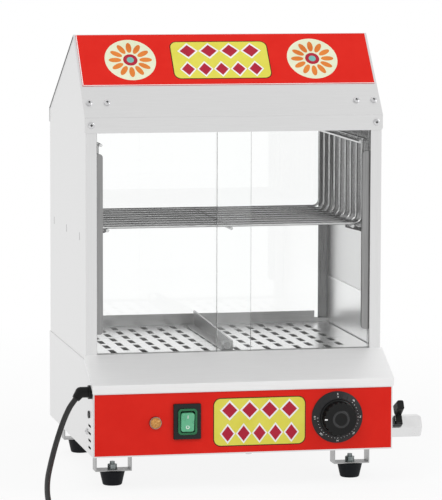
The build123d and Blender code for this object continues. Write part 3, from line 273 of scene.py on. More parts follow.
def brushed(name, stretch, low, high, rough=(0.30, 0.42), metal=1.0):
    """Sheet metal brushed along the axis where the stretch is short, with faint clouds from wiping."""
    line_scale = 2400.0
    cloud_scale = 5.0
    cloud_share = 0.25
    material, tree, links = new_material(name)
    bsdf = shader(tree, Metallic=metal)
    lines = grain(tree, links, line_scale, 2.0, stretch)
    cloud = grain(tree, links, cloud_scale, 2.0)
    mix = tree.new("ShaderNodeMix")
    mix.inputs["Factor"].default_value = cloud_share
    links.new(lines.outputs["Fac"], mix.inputs["A"])
    links.new(cloud.outputs["Fac"], mix.inputs["B"])
    tint = ramp(tree, links, mix.outputs["Result"], grey(low), grey(high))
    links.new(tint, bsdf.inputs["Base Color"])
    links.new(spread(tree, links, mix.outputs["Result"], *rough), bsdf.inputs["Roughness"])
    emboss(tree, links, bsdf, lines.outputs["Fac"], 0.06, 0.01 * mm)
    return material


def moulded(name, low, high, rough, scale=700.0, bump=0.12, depth=0.03 * mm, **values):
    """Plastic or rubber with a fine moulded skin and faint scuffs."""
    scuff_scale = 40.0
    material, tree, links = new_material(name)
    bsdf = shader(tree, **values)
    skin = grain(tree, links, scale, 3.0)
    scuff = grain(tree, links, scuff_scale, 5.0)
    tint = ramp(tree, links, scuff.outputs["Fac"], low, high)
    links.new(tint, bsdf.inputs["Base Color"])
    links.new(spread(tree, links, scuff.outputs["Fac"], *rough), bsdf.inputs["Roughness"])
    emboss(tree, links, bsdf, skin.outputs["Fac"], bump, depth)
    return material


def plated(name, low, high, rough, scale=60.0):
    """Bright plated or drawn metal with faint handling marks."""
    material, tree, links = new_material(name)
    bsdf = shader(tree, Metallic=1.0)
    marks = grain(tree, links, scale, 5.0)
    tint = ramp(tree, links, marks.outputs["Fac"], low, high)
    links.new(tint, bsdf.inputs["Base Color"])
    links.new(spread(tree, links, marks.outputs["Fac"], *rough), bsdf.inputs["Roughness"])
    emboss(tree, links, bsdf, marks.outputs["Fac"], 0.05, 0.02 * mm)
    return material


def printed(name, low, high, rough=(0.30, 0.40)):
    """Printed film: an even colour with a faint orange-peel gloss."""
    return moulded(name, low, high, rough, 350.0, 0.05, 0.02 * mm, Specular_IOR_Level=0.12)


def clear_glass(name):
    """Clear glass with a faint haze left by wiping."""
    material, tree, links = new_material(name)
    bsdf = shader(tree, Transmission_Weight=1.0, IOR=1.45, Base_Color=(0.995, 1.0, 0.998, 1))
    haze = grain(tree, links, 14.0, 4.0)
    links.new(spread(tree, links, haze.outputs["Fac"], 0.0, 0.02, 0.45, 0.8), bsdf.inputs["Roughness"])
    return material


def tinted_plastic(name, low, high, rough, through, scale=25.0):
    """Translucent plastic, a little darker in some places than in others."""
    material, tree, links = new_material(name)
    bsdf = shader(tree, Transmission_Weight=through, IOR=1.49, Specular_IOR_Level=0.3)
    depth = grain(tree, links, scale, 3.0)
    tint = ramp(tree, links, depth.outputs["Fac"], low, high)
    links.new(tint, bsdf.inputs["Base Color"])
    links.new(spread(tree, links, depth.outputs["Fac"], *rough), bsdf.inputs["Roughness"])
    return material


# ------------------------------------------------------------------ materials
line_stretch = 0.012
along_x = (line_stretch, 1.0, 1.0)
along_y = (1.0, line_stretch, 1.0)
along_z = (1.0, 1.0, line_stretch)
steel_front = brushed("steel_brushed_across", along_x, 0.74, 0.80)
steel_side = brushed("steel_brushed_upright", along_z, 0.75, 0.81)
steel_inner = brushed("steel_inner_sheet", along_y, 0.66, 0.74, (0.22, 0.32))
# painted shade: a dark steel for faces that lie in shade, on the walls above the rack, the rear posts'
# fronts, the hood undersides and the rack hooks
steel_shaded = brushed("steel_painted_shade", along_z, 0.075, 0.12, (0.20, 0.34))
steel_tray = brushed("steel_tray", along_x, 0.92, 0.97, (0.24, 0.34))
steel_bracket = brushed("steel_bracket", along_x, 0.38, 0.52, (0.32, 0.5))
steel_deck = brushed("steel_deck", along_x, 0.85, 0.91, (0.42, 0.52), metal=0.35)
steel_sill = brushed("steel_sill", along_x, 0.34, 0.44, (0.3, 0.4))
wire_steel = plated("steel_wire", grey(0.50), grey(0.68), (0.14, 0.26))
# painted shade: the shelf's wires, darker than the same wire that stands round it
wire_painted_shade = plated("steel_wire_painted_shade", grey(0.27), grey(0.33), (0.16, 0.22), 20.0)
satin_aluminium = brushed("satin_aluminium", along_x, 0.60, 0.72, (0.34, 0.46))
pull_steel = brushed("pull_steel", along_z, 0.26, 0.38, (0.28, 0.40))
zinc = plated("bright_zinc", (0.60, 0.60, 0.61), (0.76, 0.76, 0.77), (0.16, 0.3), 180.0)
bolt_zinc = plated("bolt_zinc", (0.16, 0.19, 0.19), (0.34, 0.37, 0.37), (0.26, 0.4), 180.0)
valve_plating = plated("nickel_valve", grey(0.76), grey(0.80), (0.26, 0.34))
# painted shade: the bezel's plating is darkened to stand for the shade in its recess round the lens
lamp_plating_painted_shade = plated("lamp_ring", (0.30, 0.22, 0.17), (0.46, 0.36, 0.30), (0.16, 0.28), 120.0)
copper = plated("drain_copper", (0.62, 0.28, 0.16), (0.80, 0.42, 0.26), (0.26, 0.46))
heater_steel = plated("heater_sheath", (0.22, 0.21, 0.20), (0.38, 0.36, 0.34), (0.38, 0.55))
red_print = printed("red_print", (0.700, 0.015, 0.008), (0.735, 0.020, 0.011))
yellow_print = printed("yellow_print", (0.72, 0.66, 0.08), (0.76, 0.71, 0.11))
dark_print = printed("dark_print", (0.030, 0.012, 0.010), (0.045, 0.018, 0.015))
crimson_print = printed("crimson_print", (0.40, 0.018, 0.040), (0.46, 0.024, 0.050))
cream_print = printed("cream_print", (0.74, 0.78, 0.56), (0.82, 0.84, 0.64))
orange_print = printed("orange_print", (0.66, 0.17, 0.03), (0.80, 0.26, 0.05))
teal_print = printed("teal_print", (0.16, 0.44, 0.42), (0.22, 0.52, 0.48))
white_print = printed("white_print", grey(0.84), grey(0.90))
black_plastic = moulded("black_plastic", grey(0.004), grey(0.009), (0.34, 0.5), Specular_IOR_Level=0.2)
knob_black = moulded("knob_black", grey(0.004), grey(0.008), (0.26, 0.34), Specular_IOR_Level=0.22)
# painted highlight: a lighter, glossier black than the knob, for its raised boss ring
knob_ring_painted_highlight = moulded(
    "knob_ring_painted_highlight", (0.012, 0.012, 0.013), (0.022, 0.022, 0.023), (0.2, 0.3), Specular_IOR_Level=0.5
)
dial_black = moulded(
    "dial_black", (0.010, 0.010, 0.011), (0.020, 0.020, 0.021), (0.42, 0.56), Specular_IOR_Level=0.3
)
gloss_black = moulded(
    "gloss_black",
    (0.005, 0.006, 0.006),
    (0.011, 0.012, 0.012),
    (0.18, 0.3),
    900.0,
    0.05,
    Specular_IOR_Level=0.3,
)
rubber = moulded(
    "black_rubber",
    (0.003, 0.004, 0.006),
    (0.009, 0.010, 0.013),
    (0.55, 0.75),
    500.0,
    0.3,
    Specular_IOR_Level=0.2,
)
cord_skin = moulded(
    "cord_sheath", grey(0.010), grey(0.020), (0.42, 0.58), 900.0, 0.2, Specular_IOR_Level=0.4
)
recess_dark = moulded("recess_shadow", grey(0.02), grey(0.05), (0.4, 0.6), Metallic=1.0)
terminal_white = moulded("terminal_white", (0.66, 0.65, 0.60), (0.76, 0.75, 0.70), (0.4, 0.55))
green_frame = tinted_plastic("green_frame", (0.012, 0.13, 0.050), (0.03, 0.22, 0.09), (0.16, 0.3), 0.15)
green_rocker = tinted_plastic("green_rocker", (0.10, 0.46, 0.24), (0.18, 0.58, 0.34), (0.2, 0.34), 0.1)
amber = tinted_plastic("amber_lens", (0.46, 0.17, 0.03), (0.86, 0.47, 0.13), (0.12, 0.3), 0.1, 420.0)
glass_pane = clear_glass("clear_pane")


# ------------------------------------------------------------------ nodes that keep their own shape
plain_nodes = {
    "base_bottom_plate": steel_inner,
    "water_tank": steel_inner,
    "gland_nuts": zinc,
    "terminal_block": terminal_white,
    "thermostat_body": black_plastic,
    "thermostat_shaft": zinc,
    "valve_lock_nut": zinc,
    "drain_pipe": copper,
}
for node, material in plain_nodes.items():
    paint(nodes[node], material)

# node: its material, its slot and the width of its broken edges in millimetres
dressed_nodes = {
    "rear_sill": (steel_sill, "steel_sheet", 0.2),
    "rear_top_rail": (steel_front, "steel_sheet", 0.2),
    "left_wall_liner": (steel_tray, "steel_sheet", 0.2),
    "right_wall_liner": (steel_tray, "steel_sheet", 0.2),
    "divider": (steel_sill, "steel_sheet", 0.2),
    "deck": (steel_deck, "steel_sheet", 0.3),
    "control_box": (steel_side, "steel_sheet", 0.3),
    "base_casing": (steel_side, "steel_sheet", 0.3),
    "foot_brackets": (steel_bracket, "steel_sheet", 0.3),
    "left_door_pull": (pull_steel, "steel_sheet", 0.2),
    "right_door_pull": (pull_steel, "steel_sheet", 0.2),
    "bottom_door_track": (satin_aluminium, "track_aluminium", 0.2),
    "top_door_track": (satin_aluminium, "track_aluminium", 0.2),
    "heating_element": (heater_steel, "steel_wire", 0.1),
    "thermostat_bulb": (copper, "steel_wire", 0.1),
    "sign_panel": (red_print, "red_panel", 0.1),
    "control_panel": (red_print, "red_panel", 0.1),
    "rear_glass": (glass_pane, "clear_glass", 0.4),
    "left_door_glass": (glass_pane, "clear_glass", 0.5),
    "right_door_glass": (glass_pane, "clear_glass", 0.5),
    "dial_ring": (dial_black, "track_aluminium", 0.3),
    "thermostat_knob": (knob_black, "black_plastic", 0.3),
    "lamp_bezel": (lamp_plating_painted_shade, "lamp_chrome", 0.25),
    "switch_bezel": (gloss_black, "switch_black", 0.3),
    "hole_plug": (black_plastic, "black_plastic", 0.3),
    "strain_relief": (black_plastic, "black_plastic", 0.5),
    "mains_plug": (black_plastic, "black_plastic", 0.5),
    "foot_fasteners": (bolt_zinc, "zinc", 0.2),
    "front_left_foot": (rubber, "black_rubber", 0.9),
    "front_right_foot": (rubber, "black_rubber", 0.9),
    "rear_left_foot": (rubber, "black_rubber", 0.9),
    "rear_right_foot": (rubber, "black_rubber", 0.9),
    "drain_valve_body": (valve_plating, "plated_valve", 0.4),
    "valve_bonnet": (black_plastic, "black_plastic", 0.5),
}
for node, (material, slot, edge) in dressed_nodes.items():
    piece = finished_copy(node, edge * mm, smooth=material != glass_pane)
    keep(piece, body_of(node), material)


# ------------------------------------------------------------------ sheets and wires with a second, darker material painted as shade
wall_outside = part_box("right_side_panel")[1].x
rack_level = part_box("bun_rack")[0].z
rear_posts_from = 140.0 * mm
mostly = 0.7  # of a face's normal, in the way it is said to face
shelf_height = 7.0 * mm
shelf_front = -75.0 * mm
shelf_half_width = 155.0 * mm


def wall_painted_shade(middle, normal):
    """1 on the walls' inside above the rack and on the rear posts' fronts, where the dark steel is
    painted as shade.
    """
    faces_in = normal.x * middle.x < 0 and abs(normal.x) > mostly
    inside = faces_in and abs(middle.x) < wall_outside - 0.5 * mm
    rear_post = normal.y < -mostly and middle.y > rear_posts_from
    return int((inside and middle.z > rack_level) or rear_post)


def hood_painted_shade(middle, normal):
    """1 on the undersides, painted in the dark steel as shade."""
    return int(normal.z < -0.2)


def rack_painted_shade(middle, normal):
    """1 on the wires of the shelf, painted darker as shade, 0 on those that stand up round it."""
    low = middle.z < rack_level + shelf_height
    return int(low and middle.y > shelf_front and abs(middle.x) < shelf_half_width)


for node, painted_shade_faces, material in (
    ("left_side_panel", wall_painted_shade, steel_side),
    ("right_side_panel", wall_painted_shade, steel_side),
    ("front_hood", hood_painted_shade, steel_front),
    ("rear_hood", hood_painted_shade, steel_front),
):
    sheet = finished_copy(node, 0.25 * mm)
    paint_faces(sheet, (material, steel_shaded), painted_shade_faces)
    keep(sheet, "cabinet")

rack = finished_copy("bun_rack", 0.1 * mm)
paint_faces(rack, (wire_steel, wire_painted_shade), rack_painted_shade)
keep(rack, body_of("bun_rack"))

# the hooks' noses are slimmer under the runner than their roots in the wall
keel_rise = 9.4 * mm
root_share = 1 / 6  # of the hook's reach
for node in ("left_rack_hooks", "right_rack_hooks"):
    hooks = finished_copy(node, 0.2 * mm)
    low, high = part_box(node)
    root = high.x if node.startswith("right") else low.x
    for vertex in hooks.data.vertices:
        reach = min(abs(vertex.co.x - root) / (high.x - low.x), 1.0)
        keel = low.z + keel_rise * min(reach / root_share, 1.0)
        vertex.co.z = max(vertex.co.z, keel)
    # the hooks are painted in the dark steel as painted shade
    keep(hooks, "cabinet", steel_shaded)


# ------------------------------------------------------------------ tray
def open_slots(tray):
    """Opens the tray's slots to their full width, in staggered columns."""
    columns = 16
    rows = 6
    pitch_x = 18.9 * mm
    pitch_y = 40.6 * mm
    first_y = -68.0 * mm
    slot_size = (7.2 * mm, 28.6 * mm, 30 * mm)
    tray_level = 150 * mm
    cutters = []
    for column in range(columns):
        staggered = column % 2
        for row in range(rows - staggered):
            x = (column - (columns - 1) / 2) * pitch_x
            y = first_y + (row + staggered / 2) * pitch_y
            deselect()
            bpy.ops.mesh.primitive_cube_add(size=1)
            cutter = bpy.context.object
            cutter.scale = slot_size
            cutter.location = (x, y, tray_level)
            bpy.context.view_layer.update()
            cutters.append(settle(cutter))
    cutter = join(cutters, "slot_cutter")
    add_modifier(tray, "BOOLEAN", object=cutter, operation="DIFFERENCE", solver="EXACT")
    bpy.data.objects.remove(cutter)


tray = finished_copy("perforated_tray", 0.2 * mm, reshape=open_slots)
keep(tray, body_of("perforated_tray"), steel_tray)


# ------------------------------------------------------------------ boot and rocker of the switch
def round_corners(piece, width):
    """Rounds the piece's four edges that run from front to back."""
    pick(piece)
    bpy.ops.object.mode_set(mode="EDIT")
    bpy.ops.mesh.select_mode(type="EDGE")
    bpy.ops.mesh.select_all(action="DESELECT")
    mesh = bmesh.from_edit_mesh(piece.data)
    for edge in mesh.edges:
        start, end = (vertex.co for vertex in edge.verts)
        edge.select_set(abs((end - start).normalized().y) > 0.9)
    bmesh.update_edit_mesh(piece.data)
    bpy.ops.mesh.bevel(offset=width, segments=6, affect="EDGES")
    bpy.ops.object.mode_set(mode="OBJECT")
    return piece


def upright_block(name, size, middle, corner):
    """A box whose edges from front to back are rounded."""
    deselect()
    bpy.ops.mesh.primitive_cube_add(size=1)
    piece = named(name)
    piece.scale = size
    piece.location = middle
    bpy.context.view_layer.update()
    return round_corners(settle(piece), corner)


def switch_boot():
    """The green boot: a frame with round corners, open over the rocker."""
    low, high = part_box("switch_cover")
    middle = (low + high) / 2
    size = high - low
    wall = 2.7 * mm
    outer_corner = 4.2 * mm
    inner_corner = 2.4 * mm
    boot = upright_block("switch_boot", size, middle, outer_corner)
    hole_size = (size.x - 2 * wall, size.y * 3, size.z - 2 * wall)
    hole = upright_block("boot_hole", hole_size, middle, inner_corner)
    add_modifier(boot, "BOOLEAN", object=hole, operation="DIFFERENCE", solver="EXACT")
    bpy.data.objects.remove(hole)
    break_edges(boot, 0.5 * mm, 3)
    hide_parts("switch_cover")
    keep(boot, "cabinet", green_frame)


def rocker_cap():
    """The light green rocker: its face a little hollow, its corners round, tipped on its pivot."""
    half_width = 7.9 * mm
    corner = 2.8 * mm
    pivot_ahead = 0.5 * mm
    tip = math.radians(7)
    # Y and Z in millimetres, from the back over the upper end to the face
    upper = [(4.0, 3.8), (1.3, 11.2), (-5.9, 11.2), (-4.95, 5.0)]
    face_middle = (-4.6, 0)
    profile = upper + [face_middle] + [(y, -z) for y, z in upper[::-1]]
    data = bpy.data.meshes.new("rocker_cap")
    piece = bpy.data.objects.new("rocker_cap", data)
    bpy.context.collection.objects.link(piece)
    mesh = bmesh.new()
    outline = [mesh.verts.new((-half_width, y * mm, z * mm)) for y, z in profile]
    side = mesh.faces.new(outline)
    swept = bmesh.ops.extrude_face_region(mesh, geom=[side])
    moved = [item for item in swept["geom"] if isinstance(item, bmesh.types.BMVert)]
    bmesh.ops.translate(mesh, verts=moved, vec=(2 * half_width, 0, 0))
    bmesh.ops.recalc_face_normals(mesh, faces=mesh.faces)
    corners = []
    for edge in mesh.edges:
        start, end = (vertex.co for vertex in edge.verts)
        if abs((end - start).normalized().y) > 0.99:
            corners.append(edge)
    bmesh.ops.bevel(mesh, geom=corners, offset=corner, segments=6, profile=0.5, affect="EDGES")
    mesh.to_mesh(data)
    mesh.free()
    pivot = switch_centre + forward * pivot_ahead
    data.transform(Matrix.Translation(pivot) @ Matrix.Rotation(tip, 4, "X"))
    break_edges(piece, 0.45 * mm, 3)
    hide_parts("switch_rocker")
    return keep(piece, body_of("switch_rocker"), green_rocker)


switch_boot()
rocker = rocker_cap()


# ------------------------------------------------------------------ lever of the drain valve
stem_foot = Vector((201.5, -94.0, 60.2)) * mm
stem_lean = math.radians(30)
stem_way = Vector((0, -math.cos(stem_lean), math.sin(stem_lean)))
lever_way = Vector((0, math.sin(stem_lean), math.cos(stem_lean)))
grip_from = 23.9 * mm
heel_to = 3.2 * mm


def lever_finish(middle, normal):
    """1 on the black grip and heel, 0 on the plated neck between them."""
    along = middle - stem_foot
    return int(along.dot(stem_way) > grip_from or along.dot(lever_way) < heel_to)


lever = finished_copy("valve_lever", 0.5 * mm)
paint_faces(lever, (valve_plating, black_plastic), lever_finish)
keep(lever, body_of("valve_lever"))


# ------------------------------------------------------------------ pan head screws
screw_radius = 4.0 * mm
screw_height = 2.2 * mm
recess_length = 3.2 * mm
recess_width = 1.1 * mm


def recess_painted_shadow(middle, normal):
    """1 in the cross recess, painted dark as its shadow."""
    near = middle.xy.length < recess_length / 2 + 0.05 * mm
    return int(near and 0.3 * mm < middle.z < screw_height * 0.97)


def pan_head(place, outward):
    """A domed head with a cross recess, standing on the sheet at a place."""
    deselect()
    bpy.ops.mesh.primitive_cylinder_add(vertices=32, radius=screw_radius, depth=screw_height)
    head = named("screw_head")
    head.location.z = screw_height / 2
    bpy.context.view_layer.update()
    settle(head)
    bpy.ops.object.mode_set(mode="EDIT")
    select_faces(head, lambda middle, normal: normal.z > 0.9)
    bpy.ops.mesh.bevel(offset=screw_height * 0.6, segments=4, affect="EDGES")
    bpy.ops.object.mode_set(mode="OBJECT")
    for length, width in ((recess_length, recess_width), (recess_width, recess_length)):
        deselect()
        bpy.ops.mesh.primitive_cube_add(size=1)
        cutter = named("recess")
        cutter.scale = (length, width, screw_height)
        cutter.location.z = screw_height
        bpy.context.view_layer.update()
        settle(cutter)
        add_modifier(head, "BOOLEAN", object=cutter, operation="DIFFERENCE", solver="EXACT")
        bpy.data.objects.remove(cutter)
    pick(head)
    bpy.ops.object.shade_smooth_by_angle(angle=math.radians(35))
    paint_faces(head, (zinc, recess_dark), recess_painted_shadow)
    head.data.transform(outward.to_track_quat("Z", "Y").to_matrix().to_4x4())
    head.data.transform(Matrix.Translation(place))
    return head


def down_slope(eave, distance):
    """Point on the roof's middle line, that far below the ridge along the slope."""
    return ridge + (eave - ridge).normalized() * distance


def slope_normal(eave):
    """Straight out of the slope that falls from the ridge to that eave."""
    normal = (eave - ridge).cross(Vector((1, 0, 0))).normalized()
    return normal if normal.z > 0 else -normal


front_normal = slope_normal(front_eave)
rear_normal = slope_normal(rear_eave)
edge_screw_x = 173.0 * mm
middle_screw_x = 151.6 * mm
front_slope_screws = down_slope(front_eave, 104.5 * mm)
rear_slope_screws = down_slope(rear_eave, 190.0 * mm)
front_band_screws = Vector((0, front_eave.y, 431.0 * mm))
rear_band_screws = Vector((0, rear_eave.y, 425.0 * mm))
hood_places = []
for side in (-1, 1):
    edge = Vector((side * edge_screw_x, 0, 0))
    inner = Vector((side * middle_screw_x, 0, 0))
    hood_places.append((front_slope_screws + edge, front_normal))
    hood_places.append((front_slope_screws + inner, front_normal))
    hood_places.append((front_band_screws + edge, forward))
    hood_places.append((rear_slope_screws + edge, rear_normal))
    hood_places.append((rear_band_screws + edge, backward))
hood_heads = join([pan_head(*place) for place in hood_places], "hood_screw_heads")
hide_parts("hood_screws")
keep(hood_heads, "cabinet")

base_side = 181.0 * mm
base_places = []
for side in (-1, 1):
    base_places.append((Vector((side * base_side, -121.0 * mm, 70.0 * mm)), Vector((side, 0, 0))))
base_places.append((Vector((7.0, -155.0, 44.5)) * mm, Vector((0, 0, -1))))
base_heads = join([pan_head(*place) for place in base_places], "base_screw_heads")
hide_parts("base_screws")
keep(base_heads, "cabinet")


# ------------------------------------------------------------------ printed designs on the red panels
print_rise = 0.08 * mm
slope_up = (ridge - front_eave).normalized()
sign_surface = Matrix.Translation(ridge + front_normal * sign_thickness) @ Matrix(
    (
        (1, 0, 0, 0),
        (0, slope_up.y, front_normal.y, 0),
        (0, slope_up.z, front_normal.z, 0),
        (0, 0, 0, 1),
    )
)
panel_surface = Matrix.Translation(Vector((0, panel_face, 0))) @ Matrix.Rotation(math.pi / 2, 4, "X")
square = math.pi / 4


def film(corners, width, height, centre, layer, turn=0.0, corner=0.0):
    """One printed field in the plane of the panel, thin as a film, with so many layers under it."""
    deselect()
    bpy.ops.mesh.primitive_circle_add(vertices=corners, radius=0.5, fill_type="NGON")
    field = bpy.context.object
    field.data.transform(Matrix.Rotation(turn, 4, "Z"))
    box = [max(abs(vertex.co[axis]) for vertex in field.data.vertices) for axis in (0, 1)]
    scale = Matrix.Diagonal((width / 2 / box[0], height / 2 / box[1], 1, 1))
    field.data.transform(Matrix.Translation((*centre, layer * print_rise)) @ scale)
    bpy.ops.object.mode_set(mode="EDIT")
    bpy.ops.mesh.select_all(action="SELECT")
    if corner:
        bpy.ops.mesh.bevel(offset=corner, segments=6, affect="VERTICES")
        bpy.ops.mesh.select_all(action="SELECT")
    bpy.ops.mesh.extrude_region_move(TRANSFORM_OT_translate={"value": (0, 0, print_rise)})
    bpy.ops.mesh.select_all(action="SELECT")
    bpy.ops.mesh.normals_make_consistent(inside=False)
    bpy.ops.object.mode_set(mode="OBJECT")
    return field


def hand_over_print(fields, name, surface, material):
    """Joins fields of one colour and lays them on their panel."""
    piece = join(fields, name)
    piece.data.transform(surface)
    return keep(piece, "cabinet", material)


def banner(name, surface, centre, width, height):
    """A yellow field in a dark edge with two rows of crimson lozenges."""
    x, y = centre
    edge = 1.1 * mm
    corner = 9 * mm
    outer = [film(4, width, height, centre, 0, square, corner)]
    hand_over_print(outer, name + "_edge", surface, dark_print)
    field = [film(4, width - 2 * edge, height - 2 * edge, centre, 1, square, corner - 1 * mm)]
    hand_over_print(field, name + "_field", surface, yellow_print)
    rows = ((0.24, 4), (-0.24, 5))  # share of the height from the middle, lozenges
    halos = []
    lozenges = []
    for offset, count in rows:
        step = width * 0.86 / count
        for place in range(count):
            middle = (x + (place - (count - 1) / 2) * step, y + offset * height)
            halos.append(film(4, step * 0.98, height * 0.42, middle, 2))
            lozenges.append(film(4, step * 0.76, height * 0.32, middle, 3))
    hand_over_print(halos, name + "_halos", surface, white_print)
    hand_over_print(lozenges, name + "_lozenges", surface, crimson_print)


def rosette(name, surface, centre, radius):
    """A round ornament of orange petals on a cream disc."""
    disc = [film(48, 2 * radius, 2 * radius, centre, 0)]
    hand_over_print(disc, name + "_disc", surface, cream_print)
    petals = []
    count = 12
    for place in range(count):
        angle = 2 * math.pi * place / count
        petal = film(16, radius * 0.22, radius * 0.50, (0, radius * 0.60), 1)
        petal.data.transform(Matrix.Rotation(angle, 4, "Z"))
        petal.data.transform(Matrix.Translation((*centre, 0)))
        petals.append(petal)
    hand_over_print(petals, name + "_petals", surface, orange_print)
    heart = [film(32, radius * 0.56, radius * 0.56, centre, 1)]
    hand_over_print(heart, name + "_heart", surface, crimson_print)
    eye = [film(24, radius * 0.28, radius * 0.28, centre, 2)]
    hand_over_print(eye, name + "_eye", surface, teal_print)


# white strips at the sign's left and lower edges: the bare steel margin, painted white as a highlight
# where the edge catches light
edge_highlight = [
    film(4, 1.0 * mm, 77.6 * mm, (-177.4 * mm, -40.0 * mm), 0, square),
    film(4, 355.8 * mm, 0.9 * mm, (0, -78.4 * mm), 0, square),
]
hand_over_print(edge_highlight, "sign_edge_highlight", sign_surface, white_print)
banner("sign_banner", sign_surface, (-6 * mm, -41 * mm), 120 * mm, 58 * mm)
rosette("sign_rosette_left", sign_surface, (-116 * mm, -40 * mm), 31 * mm)
rosette("sign_rosette_right", sign_surface, (107 * mm, -40 * mm), 31 * mm)
banner("panel_banner", panel_surface, (18.5 * mm, 82.5 * mm), 112 * mm, 58 * mm)


# ------------------------------------------------------------------ marks on dial, switch and knob
dial_outer = 31.0 * mm
dial_inner = 23.0 * mm
dial_low = 1.0 * mm
dial_high = 6.0 * mm
tick_first = 45
tick_last = 270
tick_step = 9
number_every = 45
first_number = 60
number_step = 10
tick_radius = 24.7 * mm
number_radius = 27.7 * mm
number_size = 3.2 * mm
mark_rise = 0.1 * mm
knob_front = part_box("thermostat_knob")[0].y


def on_dial(angle, radius):
    """Place and turn on the dial's sloping face, clockwise from the top, facing outwards."""
    turn = math.radians(angle)
    out = Vector((math.sin(turn), 0, math.cos(turn)))
    fall = (dial_high - dial_low) / (dial_outer - dial_inner)
    normal = (out * fall + forward).normalized()
    up = (out - normal * out.dot(normal)).normalized()
    right = up.cross(normal)
    rise = dial_low + (dial_outer - radius) * fall
    place = dial_centre + out * radius + forward * rise
    turned = Matrix((right, up, normal)).transposed().to_4x4()
    return Matrix.Translation(place) @ turned


def dial_marks():
    """White ticks round the dial, long at each number."""
    marks = []
    for angle in range(tick_first, tick_last + 1, tick_step):
        long = (angle - tick_first) % number_every == 0
        size = (0.45 * mm, 1.5 * mm if long else 0.9 * mm)
        tick = film(4, *size, (0, 0), 0, square)
        tick.data.transform(on_dial(angle, tick_radius))
        marks.append(tick)
    top = film(4, 0.7 * mm, 1.6 * mm, (0, 0), 0, square)
    top.data.transform(on_dial(0, tick_radius))
    marks.append(top)
    keep(join(marks, "dial_ticks"), "cabinet", white_print)


def dial_numbers():
    """Plain numbers outside the ticks, with nought at the top."""
    figures = [(0, "0")]
    for place, angle in enumerate(range(tick_first, tick_last + 1, number_every)):
        figures.append((angle, str(first_number + number_step * place)))
    numbers = []
    for angle, words in figures:
        deselect()
        bpy.ops.object.text_add()
        figure = bpy.context.object
        figure.data.body = words
        figure.data.align_x = "CENTER"
        figure.data.align_y = "CENTER"
        figure.data.size = number_size
        figure.data.extrude = mark_rise / 2
        bpy.ops.object.convert(target="MESH")
        figure = bpy.context.object
        lift = Matrix.Translation((0, 0, mark_rise / 2))
        figure.data.transform(on_dial(angle, number_radius) @ lift)
        numbers.append(figure)
    keep(join(numbers, "dial_numbers"), "cabinet", white_print)


def flat_ring(radius, thickness, segments, flatness):
    """A ring in the ground plane, pressed flat."""
    deselect()
    bpy.ops.mesh.primitive_torus_add(
        major_radius=radius,
        minor_radius=thickness,
        major_segments=segments[0],
        minor_segments=segments[1],
    )
    ring = bpy.context.object
    ring.data.transform(Matrix.Diagonal((1, 1, flatness, 1)))
    return ring


def switch_marks():
    """An upright stroke above and a ring below, printed on the rocker's face."""
    corners = [vertex.co for vertex in rocker.data.vertices]
    skin = BVHTree.FromPolygons(corners, [face.vertices for face in rocker.data.polygons])
    stroke = film(4, 0.9 * mm, 4.0 * mm, (0, 0), 0, square)
    ring = flat_ring(1.75 * mm, 0.42 * mm, (32, 8), 0.2)
    marks = ((stroke, "switch_on_mark", 6.0 * mm), (ring, "switch_off_mark", -6.4 * mm))
    for mark, name, rise in marks:
        start = switch_centre + Vector((0, -50 * mm, rise))
        place, normal, _, _ = skin.ray_cast(start, backward)
        upright = Vector((0, 0, 1))
        over = (upright - normal * upright.dot(normal)).normalized()
        turned = Matrix((over.cross(normal), over, normal)).transposed().to_4x4()
        mark.data.transform(Matrix.Translation(place) @ turned)
        mark.name = name
        mark.data.name = name
        keep(mark, body_of("switch_rocker"), white_print)


def knob_pointer():
    """The raised white bar on the knob's front, at nine o'clock."""
    deselect()
    bpy.ops.mesh.primitive_cube_add(size=1)
    pointer = named("knob_pointer")
    rim_front = knob_front + 0.8 * mm
    pointer.scale = (3.6 * mm, 0.5 * mm, 1.6 * mm)
    pointer.location = (dial_centre.x - 17.9 * mm, rim_front, dial_centre.z)
    bpy.context.view_layer.update()
    settle(pointer)
    break_edges(pointer, 0.2 * mm)
    keep(pointer, body_of("thermostat_knob"), white_print)


def knob_boss():
    """The soft raised ring round the middle of the knob, bare inside, in a lighter black than the knob
    as a painted highlight.
    """
    flat_ring(8.9 * mm, 1.5 * mm, (64, 12), 0.3)
    ring = named("knob_boss_ring")
    ring.rotation_euler = (math.pi / 2, 0, 0)
    ring.location = (dial_centre.x, knob_front, dial_centre.z)
    bpy.context.view_layer.update()
    settle(ring)
    ring.data.shade_smooth()
    keep(ring, body_of("thermostat_knob"), knob_ring_painted_highlight)


dial_marks()
dial_numbers()
switch_marks()
knob_pointer()
knob_boss()

keep(finished_copy("lamp_lens", 0.3 * mm), "cabinet", amber)


# ------------------------------------------------------------------ power cord, its coil and its tail
cord_diameter = 6.6 * mm
cord_z = cord_diameter / 2
turn_pitch = cord_diameter + 0.6 * mm
coil_middle = Vector((-292.0, -326.0, 0)) * mm
coil_outer = 44.0 * mm
coil_start_x = coil_middle.x + coil_outer
elbow = Vector((-193.5, -149.0, 120.8)) * mm
route = [
    (-207.4, -155.0, 104.6),
    (-216.0, -162.5, 90.0),
    (-227.0, -177.0, 66.5),
    (-236.5, -198.0, 46.5),
    (-245.5, -227.0, 30.5),
    (-250.0, -261.0, 14.0),
    (-248.0, -296.0, 3.3),
]
exit_way = (Vector(route[0]) * mm - elbow).normalized()
cord_exit = elbow + exit_way * 9.5 * mm
points_per_half_turn = 8
half_turns_in = 5
half_turns_out = 4
plug_axis_height = 18.85 * mm


